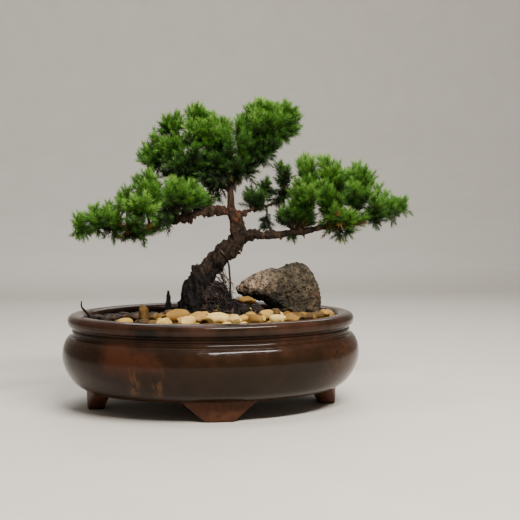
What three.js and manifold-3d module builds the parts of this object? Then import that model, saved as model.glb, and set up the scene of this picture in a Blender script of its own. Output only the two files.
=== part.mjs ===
// Juniper bonsai in an oval glazed pot: a leaning trunk, needle sprays, river pebbles and one rock.
// Millimetres, +Z up, X along the pot's long axis, Y away from the front.
import * as THREE from "three";
import { mergeVertices } from "three/addons/utils/BufferGeometryUtils.js";
import Module from "manifold-3d";

const wasm = await Module();
wasm.setup();

// Driving dimensions of the pot.
const POT_NARROWING = 22.3; // half length less half depth of the oval, at every level
const OVAL_SEGMENTS = 32; // sides of every oval, so that the soil's sides are parallel to the pot's
const POT_FLOOR_Z = 20.5;
const POT_UNDERSIDE_Z = 14.4;
const FOOT_TOP_Z = 16;
const FOOT_HALF_TOP = 27;
const FOOT_HALF_BOTTOM = 9;
const FOOT_OUTER = 85.6; // half length of the oval that the feet's outer faces follow
const FOOT_DEPTH = 11;
const FOOT_END = 1; // how deep a foot still is at its two ends
const FOOT_STEPS = 6;
const DRAIN_RADIUS = 7;
const DRAIN_SIDES = 20;
const DRAIN_X = 38;
const SCREEN_SIDE = 26;
const SCREEN_THICKNESS = 1.2;
const SCREEN_HOLE = 8;
const SCREEN_PITCH = 11;

// Driving dimensions of what the pot holds.
const GAP = 0.35; // clearance between neighbouring pieces
const SOIL_LEVEL = 54;
const SOIL_TILT = 0.06; // the soil falls this much for each millimetre towards the back
const SOIL_EDGE = 85.6; // half length of the oval of the soil's top
const WIRE_RADIUS = 0.7;
const WIRE_SIDES = 5;
const WIRE_LOOP_STEPS = 12;
const GRAVEL_DEPTH = 2.4; // fine gravel that the pebbles lie in
const GRAVEL_EDGE = 85; // half length of the oval sheet of gravel
const STONE_ROWS = 4;
const FIRST_STONE_ROW = 77.6; // half length of the outermost row of pebbles
const STONE_SPACING = 15.8;
const STONE_HALF = [6.4, 5.8, 4.2];
const STONE_SPREAD = [0.8, 0.8, 1.1]; // how much larger the largest pebbles are
const STONE_DRIFT = 1.2;

// Driving dimensions of the foliage.
const NEEDLE_LENGTH = 7.6;
const NEEDLE_ROOT_RADIUS = 1.15;
const TWIG_RADIUS = 1.0;
const WHORL_STEP = 3.2; // distance between two whorls of needles along a twig
const MOST_WHORLS = 3;
const LONG_TWIG = 27.5; // a twig longer than this carries all its whorls, and a shorter one has one less
const WHORL_TWIST = THREE.MathUtils.degToRad(77);
const NEEDLE_LEAN = THREE.MathUtils.degToRad(24); // how far the lowest needles lean forward from square
const LEAN_STEP = THREE.MathUtils.degToRad(14); // added with each whorl
const BUD_LEAN = THREE.MathUtils.degToRad(70);
const BUD_LENGTH = 1.4;
const SHORTER_NEEDLES = [1, 0.78, 0.58, 0.42]; // shares of the length, for needles that would touch others
const BARE_STEP = 22; // longest straight length of a bare twig
const FORK_DISTANCE = 3.5; // from the start of a spray to its fork
const LATEST_FORK = 0.35; // as a share of the leading twig
const TWIG_SAG = 0.1; // as a share of a twig's length
const TWIG_SWINGS = [0, 3, -3, 6, -6, 9, -9]; // bends to the side that a twig may take
const TWIG_LIFTS = [0, 3, -3, 6, -6];
const WOOD_SWELL = 1.08; // allowance for the unevenness of the wood
const SIBLING_GAP = 0.05;
const NEEDLE_REACH = 5; // how far the needles stand past the end of a twig's wood
const ROUGH_REACH = 4; // added to two lengths when they are compared by their starts alone

// Sides of a piece of wood by its largest radius: from the thickest down.
const LIMB_SIDES = [
  { over: 5.5, sides: 10 },
  { over: 3, sides: 6 },
  { over: 2.2, sides: 5 },
  { over: 0, sides: 4 },
];
const STOUT_RADIUS = 2; // wood over this is more uneven
const STOUT_UNEVEN = 0.16;
const THIN_UNEVEN = 0.06;

// A foot's section: distance in from its outer face, and height as a share of its depth there.
const FOOT_SECTION = [
  [0, 1],
  [0.3, 0.32],
  [1.4, 0.1],
  [3.2, 0],
  [FOOT_DEPTH - 2, 0],
  [FOOT_DEPTH, 1],
];

// Half length of the pot's oval and height, from the underside up the outside to the rim's inner edge.
const WALL_OUTSIDE = [
  [0, POT_UNDERSIDE_Z],
  [78, POT_UNDERSIDE_Z],
  [84, 12.9],
  [87.4, 13.7],
  [92.8, 17.8],
  [97.5, 24],
  [100.6, 30.5],
  [101.5, 36.5],
  [100.6, 42.6],
  [98.4, 47.2],
  [94.8, 50.4],
  [94.3, 54.4],
  [96.8, 56],
  [97.6, 59.4],
  [96.9, 62.2],
  [95, 63.5],
  [89, 63.8],
  [86.4, 62.6],
];

// The same down the inside, from under the rim to the floor's edge.
const WALL_INSIDE = [
  [85.9, 58],
  [93.2, 36],
  [89.5, 26],
  [82, POT_FLOOR_Z],
];

// Wood: centre line points with the radius there, from the root end to the tip.
const LIMBS = {
  stem: [
    [-14.6, 0, 46, 7.5],
    [-14.2, 0, 59.7, 9.6],
    [-12.1, 0, 72.1, 9],
    [-10, 0, 79.6, 8.2],
    [-5.9, 0, 88.8, 7.4],
    [0.4, 1, 96.9, 6.5],
    [7.3, 1, 103.7, 5.8],
    [13.5, 1, 109.1, 5.8],
    [18, 1, 115.6, 5.2],
    [17.1, 0, 122.5, 4.3],
    [15.6, 0, 129, 4.5],
  ],
  left: [
    [15.6, 0, 128, 4.1],
    [11.3, -2, 132.2, 3.2],
    [2.2, -5, 133.8, 2.7],
    [-4.8, -8, 132.9, 2.4],
    [-11.7, -10, 130.7, 2.3],
    [-22, -14, 127.5, 2],
    [-33.4, -17, 123.7, 1.7],
    [-48.6, -20, 121.6, 1.4],
    [-65, -23, 121.8, 1.2],
    [-78, -25, 122.9, 1],
    [-86, -26, 123.3, 0.8],
  ],
  leader: [
    [15.6, 0, 128, 3.8],
    [13.3, 1, 136.2, 2.8],
    [13.1, 2, 143.7, 2.4],
    [13.2, 3, 149.8, 2.1],
    [11.3, 5, 159.4, 1.8],
    [6, 7, 170.4, 1.5],
    [0, 8, 181.4, 1.2],
    [-4.4, 8, 190, 0.9],
  ],
  crown_left: [
    [13.1, 2, 146.5, 1.9],
    [3, 4, 152.6, 1.6],
    [-7.3, 4, 156, 1.5],
    [-16.2, 3, 160.7, 1.3],
    [-22.3, 2, 170.2, 1.1],
    [-26.3, 2, 181, 0.9],
    [-27, 2, 186, 0.8],
  ],
  crown_low: [
    [-16.2, 3, 160.7, 1.2],
    [-26.5, 0, 164.7, 1],
    [-36.6, -2, 167.4, 0.8],
  ],
  crown_back: [
    [6, 7, 170.4, 1.3],
    [2.1, 18, 174.9, 1],
    [-2.2, 26, 178.6, 0.8],
  ],
  crown_right: [
    [13.2, 3, 151.2, 1.8],
    [20.4, 6, 159.4, 1.6],
    [27.5, 8, 169.1, 1.4],
    [34.6, 9, 179.5, 1.2],
    [43.1, 10, 188.5, 0.9],
    [49, 10, 193, 0.8],
  ],
  crown_right_back: [
    [33.2, 9, 177.4, 1.2],
    [36.8, 15, 181.8, 1],
    [38.2, 21, 184.1, 0.8],
  ],
  left_riser_1: [
    [-56.5, -22, 121.7, 1.3],
    [-57.1, -21, 129.5, 1],
    [-57.7, -20, 135, 0.8],
  ],
  left_riser_2: [
    [-42.1, -19, 122.2, 1.4],
    [-43.3, -20, 130.8, 1.1],
    [-43.9, -21, 138, 0.8],
  ],
  left_riser_3: [
    [-24.7, -15, 126.6, 1.4],
    [-23.6, -20, 133.3, 1.1],
    [-22.4, -24, 138, 0.8],
  ],
  left_back: [
    [-35.4, -18, 123.4, 1.4],
    [-38.3, -5, 129.1, 1.1],
    [-41.4, 6, 134, 0.8],
  ],
  left_front: [
    [-50, -20, 121.6, 1.4],
    [-50.7, -31, 127.2, 1.1],
    [-48.8, -40, 132.5, 0.8],
  ],
  right: [
    [17.7, 1, 117.7, 4.4],
    [24.5, 0, 116.3, 3.4],
    [33.3, -1, 115.9, 2.8],
    [47.6, -3, 116.7, 2.7],
    [62.5, -5, 118.6, 2.5],
    [74.8, -6, 121.4, 2],
    [88, -6, 124, 1.6],
    [100.6, -6, 125.7, 1.3],
    [112.7, -5, 127.3, 1.1],
    [124.9, -4, 131.4, 0.9],
    [131.5, -3, 135, 0.8],
  ],
  right_riser_1: [
    [59.7, -5, 118.3, 1.8],
    [62.6, -4, 126.5, 1.4],
    [66.8, -4, 135.4, 1.1],
    [68.9, -4, 141, 0.8],
  ],
  right_riser_2: [
    [78.3, -6, 122, 1.6],
    [81.7, -6, 129.9, 1.3],
    [84, -5, 137.4, 1.1],
    [85.6, -4, 143, 0.8],
  ],
  right_riser_3: [
    [93.6, -6, 124.7, 1.3],
    [99.2, -6, 132.6, 1.1],
    [102.1, -5, 139.4, 1],
    [104.2, -5, 145, 0.8],
  ],
  right_back: [
    [85.2, -6, 123.4, 1.3],
    [87.9, 8, 128.1, 1.1],
    [87.3, 20, 133.5, 0.8],
  ],
  thin: [
    [16.2, 0, 128.7, 3.1],
    [22.1, 3, 131.1, 1.9],
    [28.6, 6, 133.9, 1.5],
    [36, 9, 135.6, 1.4],
    [41.8, 11, 136.6, 1.2],
    [48.5, 14, 140.1, 0.9],
    [51.4, 16, 145.5, 0.8],
  ],
  thin_up: [
    [36, 9, 135.6, 1.2],
    [36.9, 11, 142.2, 1],
    [37.8, 13, 148.5, 0.8],
  ],
  thin_down: [
    [38.9, 10, 136, 1.2],
    [39.4, 9, 131.1, 1],
    [39, 8, 127.5, 0.8],
  ],
  root_left: [
    [-16, -2, 64, 5],
    [-21, -4, 59, 3.6],
    [-26, -6, 55, 2.4],
  ],
  root_front: [
    [-13, -4, 64, 5],
    [-12, -10, 59, 3.6],
    [-10, -15, 55, 2.4],
  ],
  root_back: [
    [-14, 4, 64, 5],
    [-17, 11, 58, 3.4],
    [-20, 17, 53, 2.2],
  ],
  spur_low: [
    [-7, 0, 92, 2.2],
    [-13.5, -1, 95, 0.9],
  ],
  spur_mid: [
    [10, 0, 104.5, 4.2],
    [5.6, -1, 109.5, 3.2],
  ],
  spur_right: [
    [14, 0, 107, 2.2],
    [19.5, -1, 104, 1],
  ],
  stub_left_1: [
    [-4.8, -8, 132.5, 1.2],
    [-5.4, -9, 127.6, 0.6],
  ],
  stub_left_2: [
    [-14, -11, 129.6, 1.2],
    [-14.6, -11, 125.3, 0.5],
  ],
  stub_right_1: [
    [47.6, -3, 116.5, 1.3],
    [47.2, -4, 112.6, 0.6],
  ],
  stub_right_2: [
    [62, -5, 118, 1.2],
    [63.5, -6, 113.8, 0.6],
  ],
};

// Sprays: where each springs from its limb, and the points that its tufts reach.
const SPRAYS = {
  left_1: { root: [-86, -26, 123], tufts: [[-93, -27, 125], [-89, -30, 115], [-87, -23, 134]] },
  left_2: { root: [-76, -25, 123], tufts: [[-79, -27, 139], [-81, -40, 129]] },
  left_3: { root: [-68, -24, 122], tufts: [[-69, -18, 141], [-74, -4, 132], [-69, -38, 132]] },
  left_4: { root: [-58, -20, 135], tufts: [[-62, -12, 145], [-56, -24, 151], [-63, -36, 138]] },
  left_5: { root: [-44, -21, 138], tufts: [[-52, -20, 158], [-45, -34, 152], [-38, -18, 157]] },
  left_6: { root: [-41, 6, 134], tufts: [[-49, 8, 146], [-40, 20, 146], [-30, 10, 143]] },
  left_7: { root: [-49, -40, 133], tufts: [[-55, -46, 142], [-45, -54, 143], [-39, -50, 133]] },
  left_8: { root: [-22, -24, 138], tufts: [[-29, -26, 153], [-20, -36, 149], [-33, -40, 146]] },
  left_9: { root: [-18, -13, 130], tufts: [[-11, -14, 148], [-9, -27, 142], [-19, -38, 138]] },
  left_10: { root: [-57, -22, 122], tufts: [[-56, -22, 114], [-48, -31, 116]] },
  crown_1: { root: [-37, -2, 167], tufts: [[-51, -4, 169], [-47, 4, 178], [-44, -17, 164]] },
  crown_2: { root: [-23, 2, 172], tufts: [[-40, -7, 182], [-42, 18, 175], [-35, -22, 176]] },
  crown_3: { root: [-27, 2, 186], tufts: [[-35, 5, 190], [-31, -7, 197], [-20, 2, 201]] },
  crown_4: { root: [-5, 8, 190], tufts: [[-11, 6, 207], [-3, 15, 202], [-15, 20, 200]] },
  crown_5: { root: [-1, 8, 183], tufts: [[2, 1, 201], [-6, -14, 192], [-18, -16, 189]] },
  crown_6: { root: [5, 7, 173], tufts: [[11, 4, 198], [4, -16, 188], [16, 20, 193]] },
  crown_7: { root: [-2, 26, 179], tufts: [[-10, 36, 190], [4, 38, 189], [-20, 30, 180]] },
  crown_8: { root: [-14, 3, 159], tufts: [[-22, -24, 172], [-11, -24, 177], [-30, -26, 162]] },
  crown_9: { root: [9, 6, 165], tufts: [[-1, -15, 167], [12, -15, 176], [1, -16, 153]] },
  top_1: { root: [28, 8, 169], tufts: [[18, -1, 197], [23, 8, 201], [20, -15, 184]] },
  top_2: { root: [36, 9, 181], tufts: [[27, 0, 207], [33, 11, 212], [28, -15, 194]] },
  top_3: { root: [42, 10, 187], tufts: [[40, 3, 208], [37, -13, 196], [48, 27, 203]] },
  top_4: { root: [50, 10, 194], tufts: [[54, 10, 209], [61, 5, 203], [64, 12, 194]] },
  top_5: { root: [45, 10, 190], tufts: [[62, 5, 186], [49, -9, 195], [57, 25, 189]] },
  top_6: { root: [38, 21, 184], tufts: [[39, 36, 198], [29, 30, 190], [46, 36, 183]] },
  top_7: { root: [33, 9, 176], tufts: [[46, -5, 179], [46, 13, 173], [37, -6, 165]] },
  top_8: { root: [22, 6, 161], tufts: [[30, -3, 157], [18, -7, 149], [13, -15, 163]] },
  middle_1: { root: [30, 6, 134], tufts: [[23, 2, 145], [30, 9, 144]] },
  middle_2: { root: [38, 13, 149], tufts: [[35, 11, 163], [42, 19, 159]] },
  middle_3: { root: [52, 16, 146], tufts: [[49, 16, 168], [54, 12, 165], [45, 23, 156]] },
  middle_4: { root: [39, 8, 127], tufts: [[38, 6, 118]] },
  right_1: { root: [54, -4, 117], tufts: [[48, -4, 130], [54, -16, 133], [60, -6, 110]] },
  right_2: { root: [65, -4, 133], tufts: [[56, -14, 156], [54, 5, 148], [66, -28, 147]] },
  right_3: { root: [69, -4, 142], tufts: [[59, -2, 170], [65, 5, 173], [68, -10, 171]] },
  right_4: { root: [82, -6, 132], tufts: [[74, -31, 150], [74, 18, 154], [84, -28, 143]] },
  right_5: { root: [86, -4, 144], tufts: [[74, 1, 172], [78, -6, 172], [87, -2, 168]] },
  right_6: { root: [101, -6, 136], tufts: [[94, 11, 161], [93, -24, 150], [107, -19, 147]] },
  right_7: { root: [104, -5, 145], tufts: [[100, 1, 168], [105, -8, 165], [113, 3, 160]] },
  right_8: { root: [113, -5, 127], tufts: [[115, -5, 153], [124, 6, 148], [112, -19, 140]] },
  right_9: { root: [124, -4, 131], tufts: [[128, -2, 143], [122, -15, 137], [133, 9, 130]] },
  right_10: { root: [132, -3, 135], tufts: [[139, -3, 140], [133, -8, 131]] },
  right_11: { root: [89, -6, 124], tufts: [[98, -6, 116], [87, -5, 111], [80, -31, 134]] },
  right_12: { root: [87, 20, 134], tufts: [[78, 31, 147], [92, 35, 151], [103, 30, 142]] },
};

// Sections of the rock along X: place, middle and half depth in Y, lowest and highest point.
const ROCK_SECTIONS = [
  { x: 18, middle: 8, half: 4, low: 75.5, high: 81 },
  { x: 23, middle: 8, half: 7.5, low: 73.5, high: 85 },
  { x: 31, middle: 8.5, half: 11, low: 71.5, high: 88.8 },
  { x: 40, middle: 9, half: 14, low: 68, high: 91.5 },
  { x: 48, middle: 9, half: 16, low: 58, high: 93 },
  { x: 57, middle: 9, half: 17.5, low: 51, high: 96.5 },
  { x: 67, middle: 9.5, half: 17, low: 51, high: 95.8 },
  { x: 72, middle: 10, half: 15, low: 51.5, high: 88.5 },
  { x: 75.5, middle: 10, half: 11.5, low: 52.5, high: 76 },
  { x: 77, middle: 10, half: 8, low: 53.5, high: 66 },
];
const ROCK_SIDES = 10;

// The part of the bed that the rock takes up: its ends, and its middle and half depth in Y.
const ROCK_BED = { left: 37, right: 81, middle: 9, half: 19.5 };

// Lumps of root-bound soil heaped at the trunk: centre and half sizes.
const MOUND_LUMPS = [
  { centre: [1, 2, 62], half: [14, 15, 24] },
  { centre: [18, 0, 57], half: [19, 16, 16] },
  { centre: [-9, 1, 54], half: [19, 17, 14] },
];

// Pebbles by sixths of the oval, counted from the right end by way of the back.
const PEBBLE_SECTORS = [
  { name: "pebbles_back_right", colour: "brown" },
  { name: "pebbles_back", colour: "tan" },
  { name: "pebbles_back_left", colour: "brown" },
  { name: "pebbles_front_left", colour: "tan" },
  { name: "pebbles_front", colour: "cream" },
  { name: "pebbles_front_right", colour: "tan" },
];

const SECTOR_ANGLE = (2 * Math.PI) / PEBBLE_SECTORS.length;

const bonsai = new THREE.Group();

function finish(colour, roughness, metalness = 0) {
  return new THREE.MeshStandardMaterial({ color: colour, roughness, metalness });
}

const finishes = {
  glaze: finish(0x3a1f17, 0.22),
  soil: finish(0x1d1714, 0.95),
  bark: finish(0x4a3026, 0.9),
  needles: finish(0x3f7a1e, 0.6),
  rock: finish(0x6b6350, 0.92),
  cream: finish(0xd8c79e, 0.7),
  tan: finish(0xb08b52, 0.7),
  brown: finish(0x6e5138, 0.75),
  wire: finish(0x17130f, 0.5, 0.4),
  screen: finish(0x1a1c1b, 0.7),
};

// A repeatable stream of numbers from 0 to 1.
function seeded(seed) {
  let state = seed;
  return () => {
    state = (state * 16807) % 2147483647;
    return state / 2147483647;
  };
}

function vector(point) {
  return new THREE.Vector3(point[0], point[1], point[2]);
}

// A closed geometry as a solid for cutting and joining.
function solidOf(geometry) {
  const bare = geometry.clone();
  bare.deleteAttribute("normal");
  bare.deleteAttribute("uv");
  const merged = mergeVertices(bare, 1e-4);
  return new wasm.Manifold(
    new wasm.Mesh({
      numProp: 3,
      vertProperties: new Float32Array(merged.attributes.position.array),
      triVerts: new Uint32Array(merged.index.array),
    }),
  );
}

function geometryOf(solid) {
  const mesh = solid.getMesh();
  const indexed = new THREE.BufferGeometry();
  indexed.setAttribute("position", new THREE.BufferAttribute(mesh.vertProperties, 3));
  indexed.setIndex(new THREE.BufferAttribute(mesh.triVerts, 1));
  const flat = indexed.toNonIndexed();
  flat.computeVertexNormals();
  return flat;
}

function joined(solids) {
  return solids.reduce((whole, next) => whole.add(next));
}

// The largest body of a solid: scraps that a cut leaves are dropped.
function largestBody(solid) {
  return solid.decompose().reduce((best, body) => (body.volume() > best.volume() ? body : best));
}

function addPiece(name, solid, material) {
  const mesh = new THREE.Mesh(geometryOf(solid), material);
  mesh.name = name;
  bonsai.add(mesh);
}

// A closed surface through rings of equal counts of points, with a flat fan over each end.
function loft(rings) {
  const sides = rings[0].length;
  const positions = [];
  const triangles = [];
  for (const ring of rings) {
    for (const point of ring) {
      positions.push(point.x, point.y, point.z);
    }
  }
  for (let row = 0; row + 1 < rings.length; row += 1) {
    for (let side = 0; side < sides; side += 1) {
      const next = (side + 1) % sides;
      const a = row * sides + side;
      const b = row * sides + next;
      const c = a + sides;
      const d = b + sides;
      triangles.push(a, b, d, a, d, c);
    }
  }
  const closeEnd = (row, reversed) => {
    const middle = positions.length / 3;
    const centre = new THREE.Vector3();
    rings[row].forEach((point) => centre.add(point));
    centre.divideScalar(sides);
    positions.push(centre.x, centre.y, centre.z);
    for (let side = 0; side < sides; side += 1) {
      const a = row * sides + side;
      const b = row * sides + ((side + 1) % sides);
      triangles.push(middle, reversed ? a : b, reversed ? b : a);
    }
  };
  closeEnd(0, false);
  closeEnd(rings.length - 1, true);
  const geometry = new THREE.BufferGeometry();
  geometry.setAttribute("position", new THREE.Float32BufferAttribute(positions, 3));
  geometry.setIndex(triangles);
  return geometry;
}

// Half depth of the pot's oval whose half length is given; near the middle the oval keeps its proportion.
function halfDepth(halfLength) {
  const straight = 80;
  return halfLength > straight
    ? halfLength - POT_NARROWING
    : (halfLength * (straight - POT_NARROWING)) / straight;
}

// A closed oval solid from an outline of half lengths and heights that starts and ends on the axis.
function ovalTurned(outline, segments, inset = 0) {
  const profile = outline.map(([halfLength, z]) => new THREE.Vector2(halfLength, z));
  const geometry = new THREE.LatheGeometry(profile, segments);
  geometry.rotateX(Math.PI / 2);
  const place = geometry.attributes.position;
  for (let i = 0; i < place.count; i += 1) {
    const radius = Math.hypot(place.getX(i), place.getY(i));
    const angle = Math.atan2(place.getY(i), place.getX(i));
    const reach = Math.max(radius - inset, 0);
    const across = radius > 0 ? Math.max(halfDepth(radius) - inset, 0) : 0;
    place.setXYZ(i, reach * Math.cos(angle), across * Math.sin(angle), place.getZ(i));
  }
  return geometry;
}

function blockSolid(size, centre) {
  const block = new THREE.BoxGeometry(...size);
  block.translate(...centre);
  return solidOf(block);
}

// A bracket foot under the oval's edge, centred at the given angle round the oval.
function foot(angle) {
  const a = FOOT_OUTER;
  const b = halfDepth(FOOT_OUTER);
  const speed = Math.hypot(a * Math.sin(angle), b * Math.cos(angle));
  const rings = [];
  for (let i = 0; i <= FOOT_STEPS; i += 1) {
    const along = FOOT_HALF_TOP * ((2 * i) / FOOT_STEPS - 1);
    const t = angle + along / speed;
    const beyond = Math.max(Math.abs(along) - FOOT_HALF_BOTTOM, 0);
    const low = (beyond / (FOOT_HALF_TOP - FOOT_HALF_BOTTOM)) * (FOOT_TOP_Z - FOOT_END);
    const height = FOOT_TOP_Z - low;
    const edge = new THREE.Vector3(a * Math.cos(t), b * Math.sin(t), 0);
    const out = new THREE.Vector3(b * Math.cos(t), a * Math.sin(t), 0).normalize();
    rings.push(
      FOOT_SECTION.map(([inward, share]) =>
        edge
          .clone()
          .addScaledVector(out, -inward)
          .setZ(low + share * height),
      ),
    );
  }
  return loft(rings);
}

function makePot() {
  const outline = [...WALL_OUTSIDE, ...WALL_INSIDE, [0, POT_FLOOR_Z]];
  let pot = solidOf(ovalTurned(outline, OVAL_SEGMENTS));
  for (let quarter = 0; quarter < 4; quarter += 1) {
    pot = pot.add(solidOf(foot((quarter * Math.PI) / 2)));
  }
  for (const x of [-DRAIN_X, DRAIN_X]) {
    const drain = new THREE.CylinderGeometry(DRAIN_RADIUS, DRAIN_RADIUS, POT_FLOOR_Z, DRAIN_SIDES);
    drain.rotateX(Math.PI / 2);
    drain.translate(x, 0, POT_FLOOR_Z);
    pot = pot.subtract(solidOf(drain));
  }
  addPiece("pot", pot, finishes.glaze);
}

// A square of plastic mesh that lies over a drainage hole.
function makeScreen(name, x) {
  let plate = blockSolid([SCREEN_SIDE, SCREEN_SIDE, SCREEN_THICKNESS], [0, 0, SCREEN_THICKNESS / 2]);
  for (const row of [-0.5, 0.5]) {
    for (const column of [-0.5, 0.5]) {
      const at = [column * SCREEN_PITCH, row * SCREEN_PITCH, 0];
      plate = plate.subtract(blockSolid([SCREEN_HOLE, SCREEN_HOLE, 4 * SCREEN_THICKNESS], at));
    }
  }
  addPiece(name, plate.translate([x, 0, POT_FLOOR_Z + GAP]), finishes.screen);
}

function screenPocket(x) {
  const side = SCREEN_SIDE + 2 * GAP;
  const height = SCREEN_THICKNESS + 3 * GAP;
  return blockSolid([side, side, 2 * height], [x, 0, POT_FLOOR_Z + GAP]);
}

// One length of wood, or the space round it when grown outwards.
function limbSolid(points, grow = 0) {
  const widest = Math.max(...points.map((point) => point[3]));
  const { sides } = LIMB_SIDES.find((kind) => widest > kind.over);
  const roughness = widest > STOUT_RADIUS ? STOUT_UNEVEN : THIN_UNEVEN;
  const curve = new THREE.CatmullRomCurve3(points.map(vector), false, "centripetal");
  const steps = points.length - 1;
  const random = seeded(101 + points.length + Math.round(widest * 10));
  const rings = [];
  let across = new THREE.Vector3(0, 1, 0);
  for (let step = 0; step <= steps; step += 1) {
    const share = step / steps;
    const radius = points[step][3];
    const centre = vector(points[step]);
    const forward = curve.getTangent(share);
    across = across.clone().addScaledVector(forward, -across.dot(forward)).normalize();
    const third = forward.clone().cross(across);
    const ring = [];
    for (let side = 0; side < sides; side += 1) {
      const angle = (2 * Math.PI * side) / sides;
      const reach = radius * (1 + roughness * (random() - 0.5)) + grow;
      ring.push(
        centre
          .clone()
          .addScaledVector(across, reach * Math.cos(angle))
          .addScaledVector(third, reach * Math.sin(angle)),
      );
    }
    rings.push(ring);
  }
  if (grow > 0) {
    const before = curve.getTangent(0).multiplyScalar(-grow);
    const after = curve.getTangent(1).multiplyScalar(grow);
    rings[0].forEach((point) => point.add(before));
    rings[steps].forEach((point) => point.add(after));
  }
  return solidOf(loft(rings));
}

function soilTop(x, y) {
  return SOIL_LEVEL - SOIL_TILT * y;
}

// A pebble, a lump of soil or another rounded body: an uneven ball, or the space round it when grown.
function stoneSolid(stone, detail, grow = 0) {
  const ball = new THREE.IcosahedronGeometry(1, detail);
  ball.deleteAttribute("normal");
  ball.deleteAttribute("uv");
  const shape = mergeVertices(ball, 1e-4);
  const random = seeded(stone.seed);
  const place = shape.attributes.position;
  for (let i = 0; i < place.count; i += 1) {
    const uneven = 1 + stone.uneven * (random() - 0.5);
    place.setXYZ(
      i,
      place.getX(i) * (stone.half[0] * uneven + grow),
      place.getY(i) * (stone.half[1] * uneven + grow),
      place.getZ(i) * (stone.half[2] * uneven + grow),
    );
  }
  shape.rotateZ(stone.turn);
  shape.translate(stone.centre[0], stone.centre[1], stone.centre[2]);
  return solidOf(shape);
}

const moundLumps = MOUND_LUMPS.map((lump, index) => ({ ...lump, seed: 31 + index, uneven: 0.14, turn: 0 }));

function moundSolid(grow = 0) {
  return joined(moundLumps.map((lump) => stoneSolid(lump, 1, grow)));
}

function rockSolid(grow = 0) {
  const random = seeded(53);
  const rings = ROCK_SECTIONS.map((section) => {
    const half = section.half;
    const middle = (section.low + section.high) / 2;
    const tall = (section.high - section.low) / 2;
    const ring = [];
    for (let side = 0; side < ROCK_SIDES; side += 1) {
      const angle = (2 * Math.PI * (side + 0.5)) / ROCK_SIDES;
      const uneven = 1 + 0.1 * (random() - 0.5);
      const square = (value) => Math.sign(value) * Math.abs(value) ** 0.8;
      const y = section.middle + square(Math.cos(angle)) * (half * uneven + grow);
      const z = middle + square(Math.sin(angle)) * (tall * uneven + grow);
      ring.push(new THREE.Vector3(section.x, y, z));
    }
    return ring;
  });
  rings[0].forEach((point) => point.setX(point.x - grow));
  rings[rings.length - 1].forEach((point) => point.setX(point.x + grow));
  return solidOf(loft(rings));
}

function makeSoil(wood, wire) {
  const wall = WALL_INSIDE.slice(1, -1).reverse();
  const outline = [
    [0, POT_FLOOR_Z + GAP],
    [WALL_INSIDE.at(-1)[0] - GAP, POT_FLOOR_Z + GAP],
    ...wall,
    [SOIL_EDGE, SOIL_LEVEL],
    [0, SOIL_LEVEL],
  ];
  const body = ovalTurned(outline, OVAL_SEGMENTS, GAP);
  const place = body.attributes.position;
  for (let i = 0; i < place.count; i += 1) {
    if (place.getZ(i) > SOIL_LEVEL - 0.01) {
      place.setZ(i, soilTop(place.getX(i), place.getY(i)));
    }
  }
  let soil = solidOf(body).add(moundSolid());
  soil = soil.subtract(rockSolid(GAP));
  for (const limb of wood) {
    soil = soil.subtract(limb);
  }
  soil = soil.subtract(wire);
  for (const x of [-DRAIN_X, DRAIN_X]) {
    soil = soil.subtract(screenPocket(x));
  }
  soil = soil.subtract(stoneSolid(ochreStone, 1, GAP));
  addPiece("soil", largestBody(soil), finishes.soil);
}

// The ochre pebble that lies high on the mound, under the rock's nose, and the upright one at the front left.
const ochreStone = { centre: [23.6, -7.5, 72], half: [6, 4.6, 3.8], seed: 71, uneven: 0.1, turn: 0.1 };
const uprightStone = { centre: [-46.5, -38, 66.3], half: [3.6, 3.4, 7.2], seed: 73, uneven: 0.1, turn: 0.3 };

// Sliver of bark that stands among the pebbles left of the trunk: its outline across and up.
const CHIP_OUTLINE = [
  [-2.4, -16],
  [2.3, -16],
  [1.8, -6],
  [0.5, 4],
  [-0.5, 4],
  [-1.9, -4],
];
const CHIP_THICKNESS = 2.4;
const CHIP_TURN = 0.35;
const CHIP_PLACE = [-29, 14, 73.5];

function chipSolid(grow = 0) {
  const points = CHIP_OUTLINE.map(
    ([across, up]) => new THREE.Vector2(across + Math.sign(across) * grow, up + Math.sign(up + 5) * grow),
  );
  const thickness = CHIP_THICKNESS + 2 * grow;
  const chip = new THREE.ExtrudeGeometry(new THREE.Shape(points), { depth: thickness, bevelEnabled: false });
  chip.translate(0, 0, -thickness / 2);
  chip.rotateX(Math.PI / 2);
  chip.rotateZ(CHIP_TURN);
  chip.translate(...CHIP_PLACE);
  return solidOf(chip);
}

// Small dead twig that leans out over the rim at the left end.
const TWIG_POINTS = [
  [-82.2, 4, 57, 0.8],
  [-83.8, 4, 63.5, 0.8],
  [-86, 4, 68, 0.7],
  [-86.4, 4, 72, 0.5],
];

// Tie wire: up from the soil and once round the trunk.
const WIRE_POINTS = [
  [12.6, -1, 58],
  [12.4, -1, 78],
  [12.2, -2, 90],
  [11.4, -5.4, 97],
  [8.6, -6.3, 103],
];
const WIRE_LOOP = { centre: [7.6, 1, 104], along: [6.2, 0, 5.6], radius: 7.4 };

function wireSolid(grow = 0) {
  const rod = limbSolid(
    WIRE_POINTS.map((point) => [...point, WIRE_RADIUS]),
    grow,
  );
  if (grow > 0) {
    return rod;
  }
  const loop = new THREE.TorusGeometry(WIRE_LOOP.radius, WIRE_RADIUS, WIRE_SIDES, WIRE_LOOP_STEPS);
  const along = vector(WIRE_LOOP.along).normalize();
  loop.applyQuaternion(new THREE.Quaternion().setFromUnitVectors(new THREE.Vector3(0, 0, 1), along));
  loop.translate(...WIRE_LOOP.centre);
  return rod.add(solidOf(loop));
}

// Whether a point of the bed lies under the mound or the rock.
function withinMound(x, y) {
  return moundLumps.some(
    (lump) => Math.hypot((x - lump.centre[0]) / lump.half[0], (y - lump.centre[1]) / lump.half[1]) < 1.05,
  );
}

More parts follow.
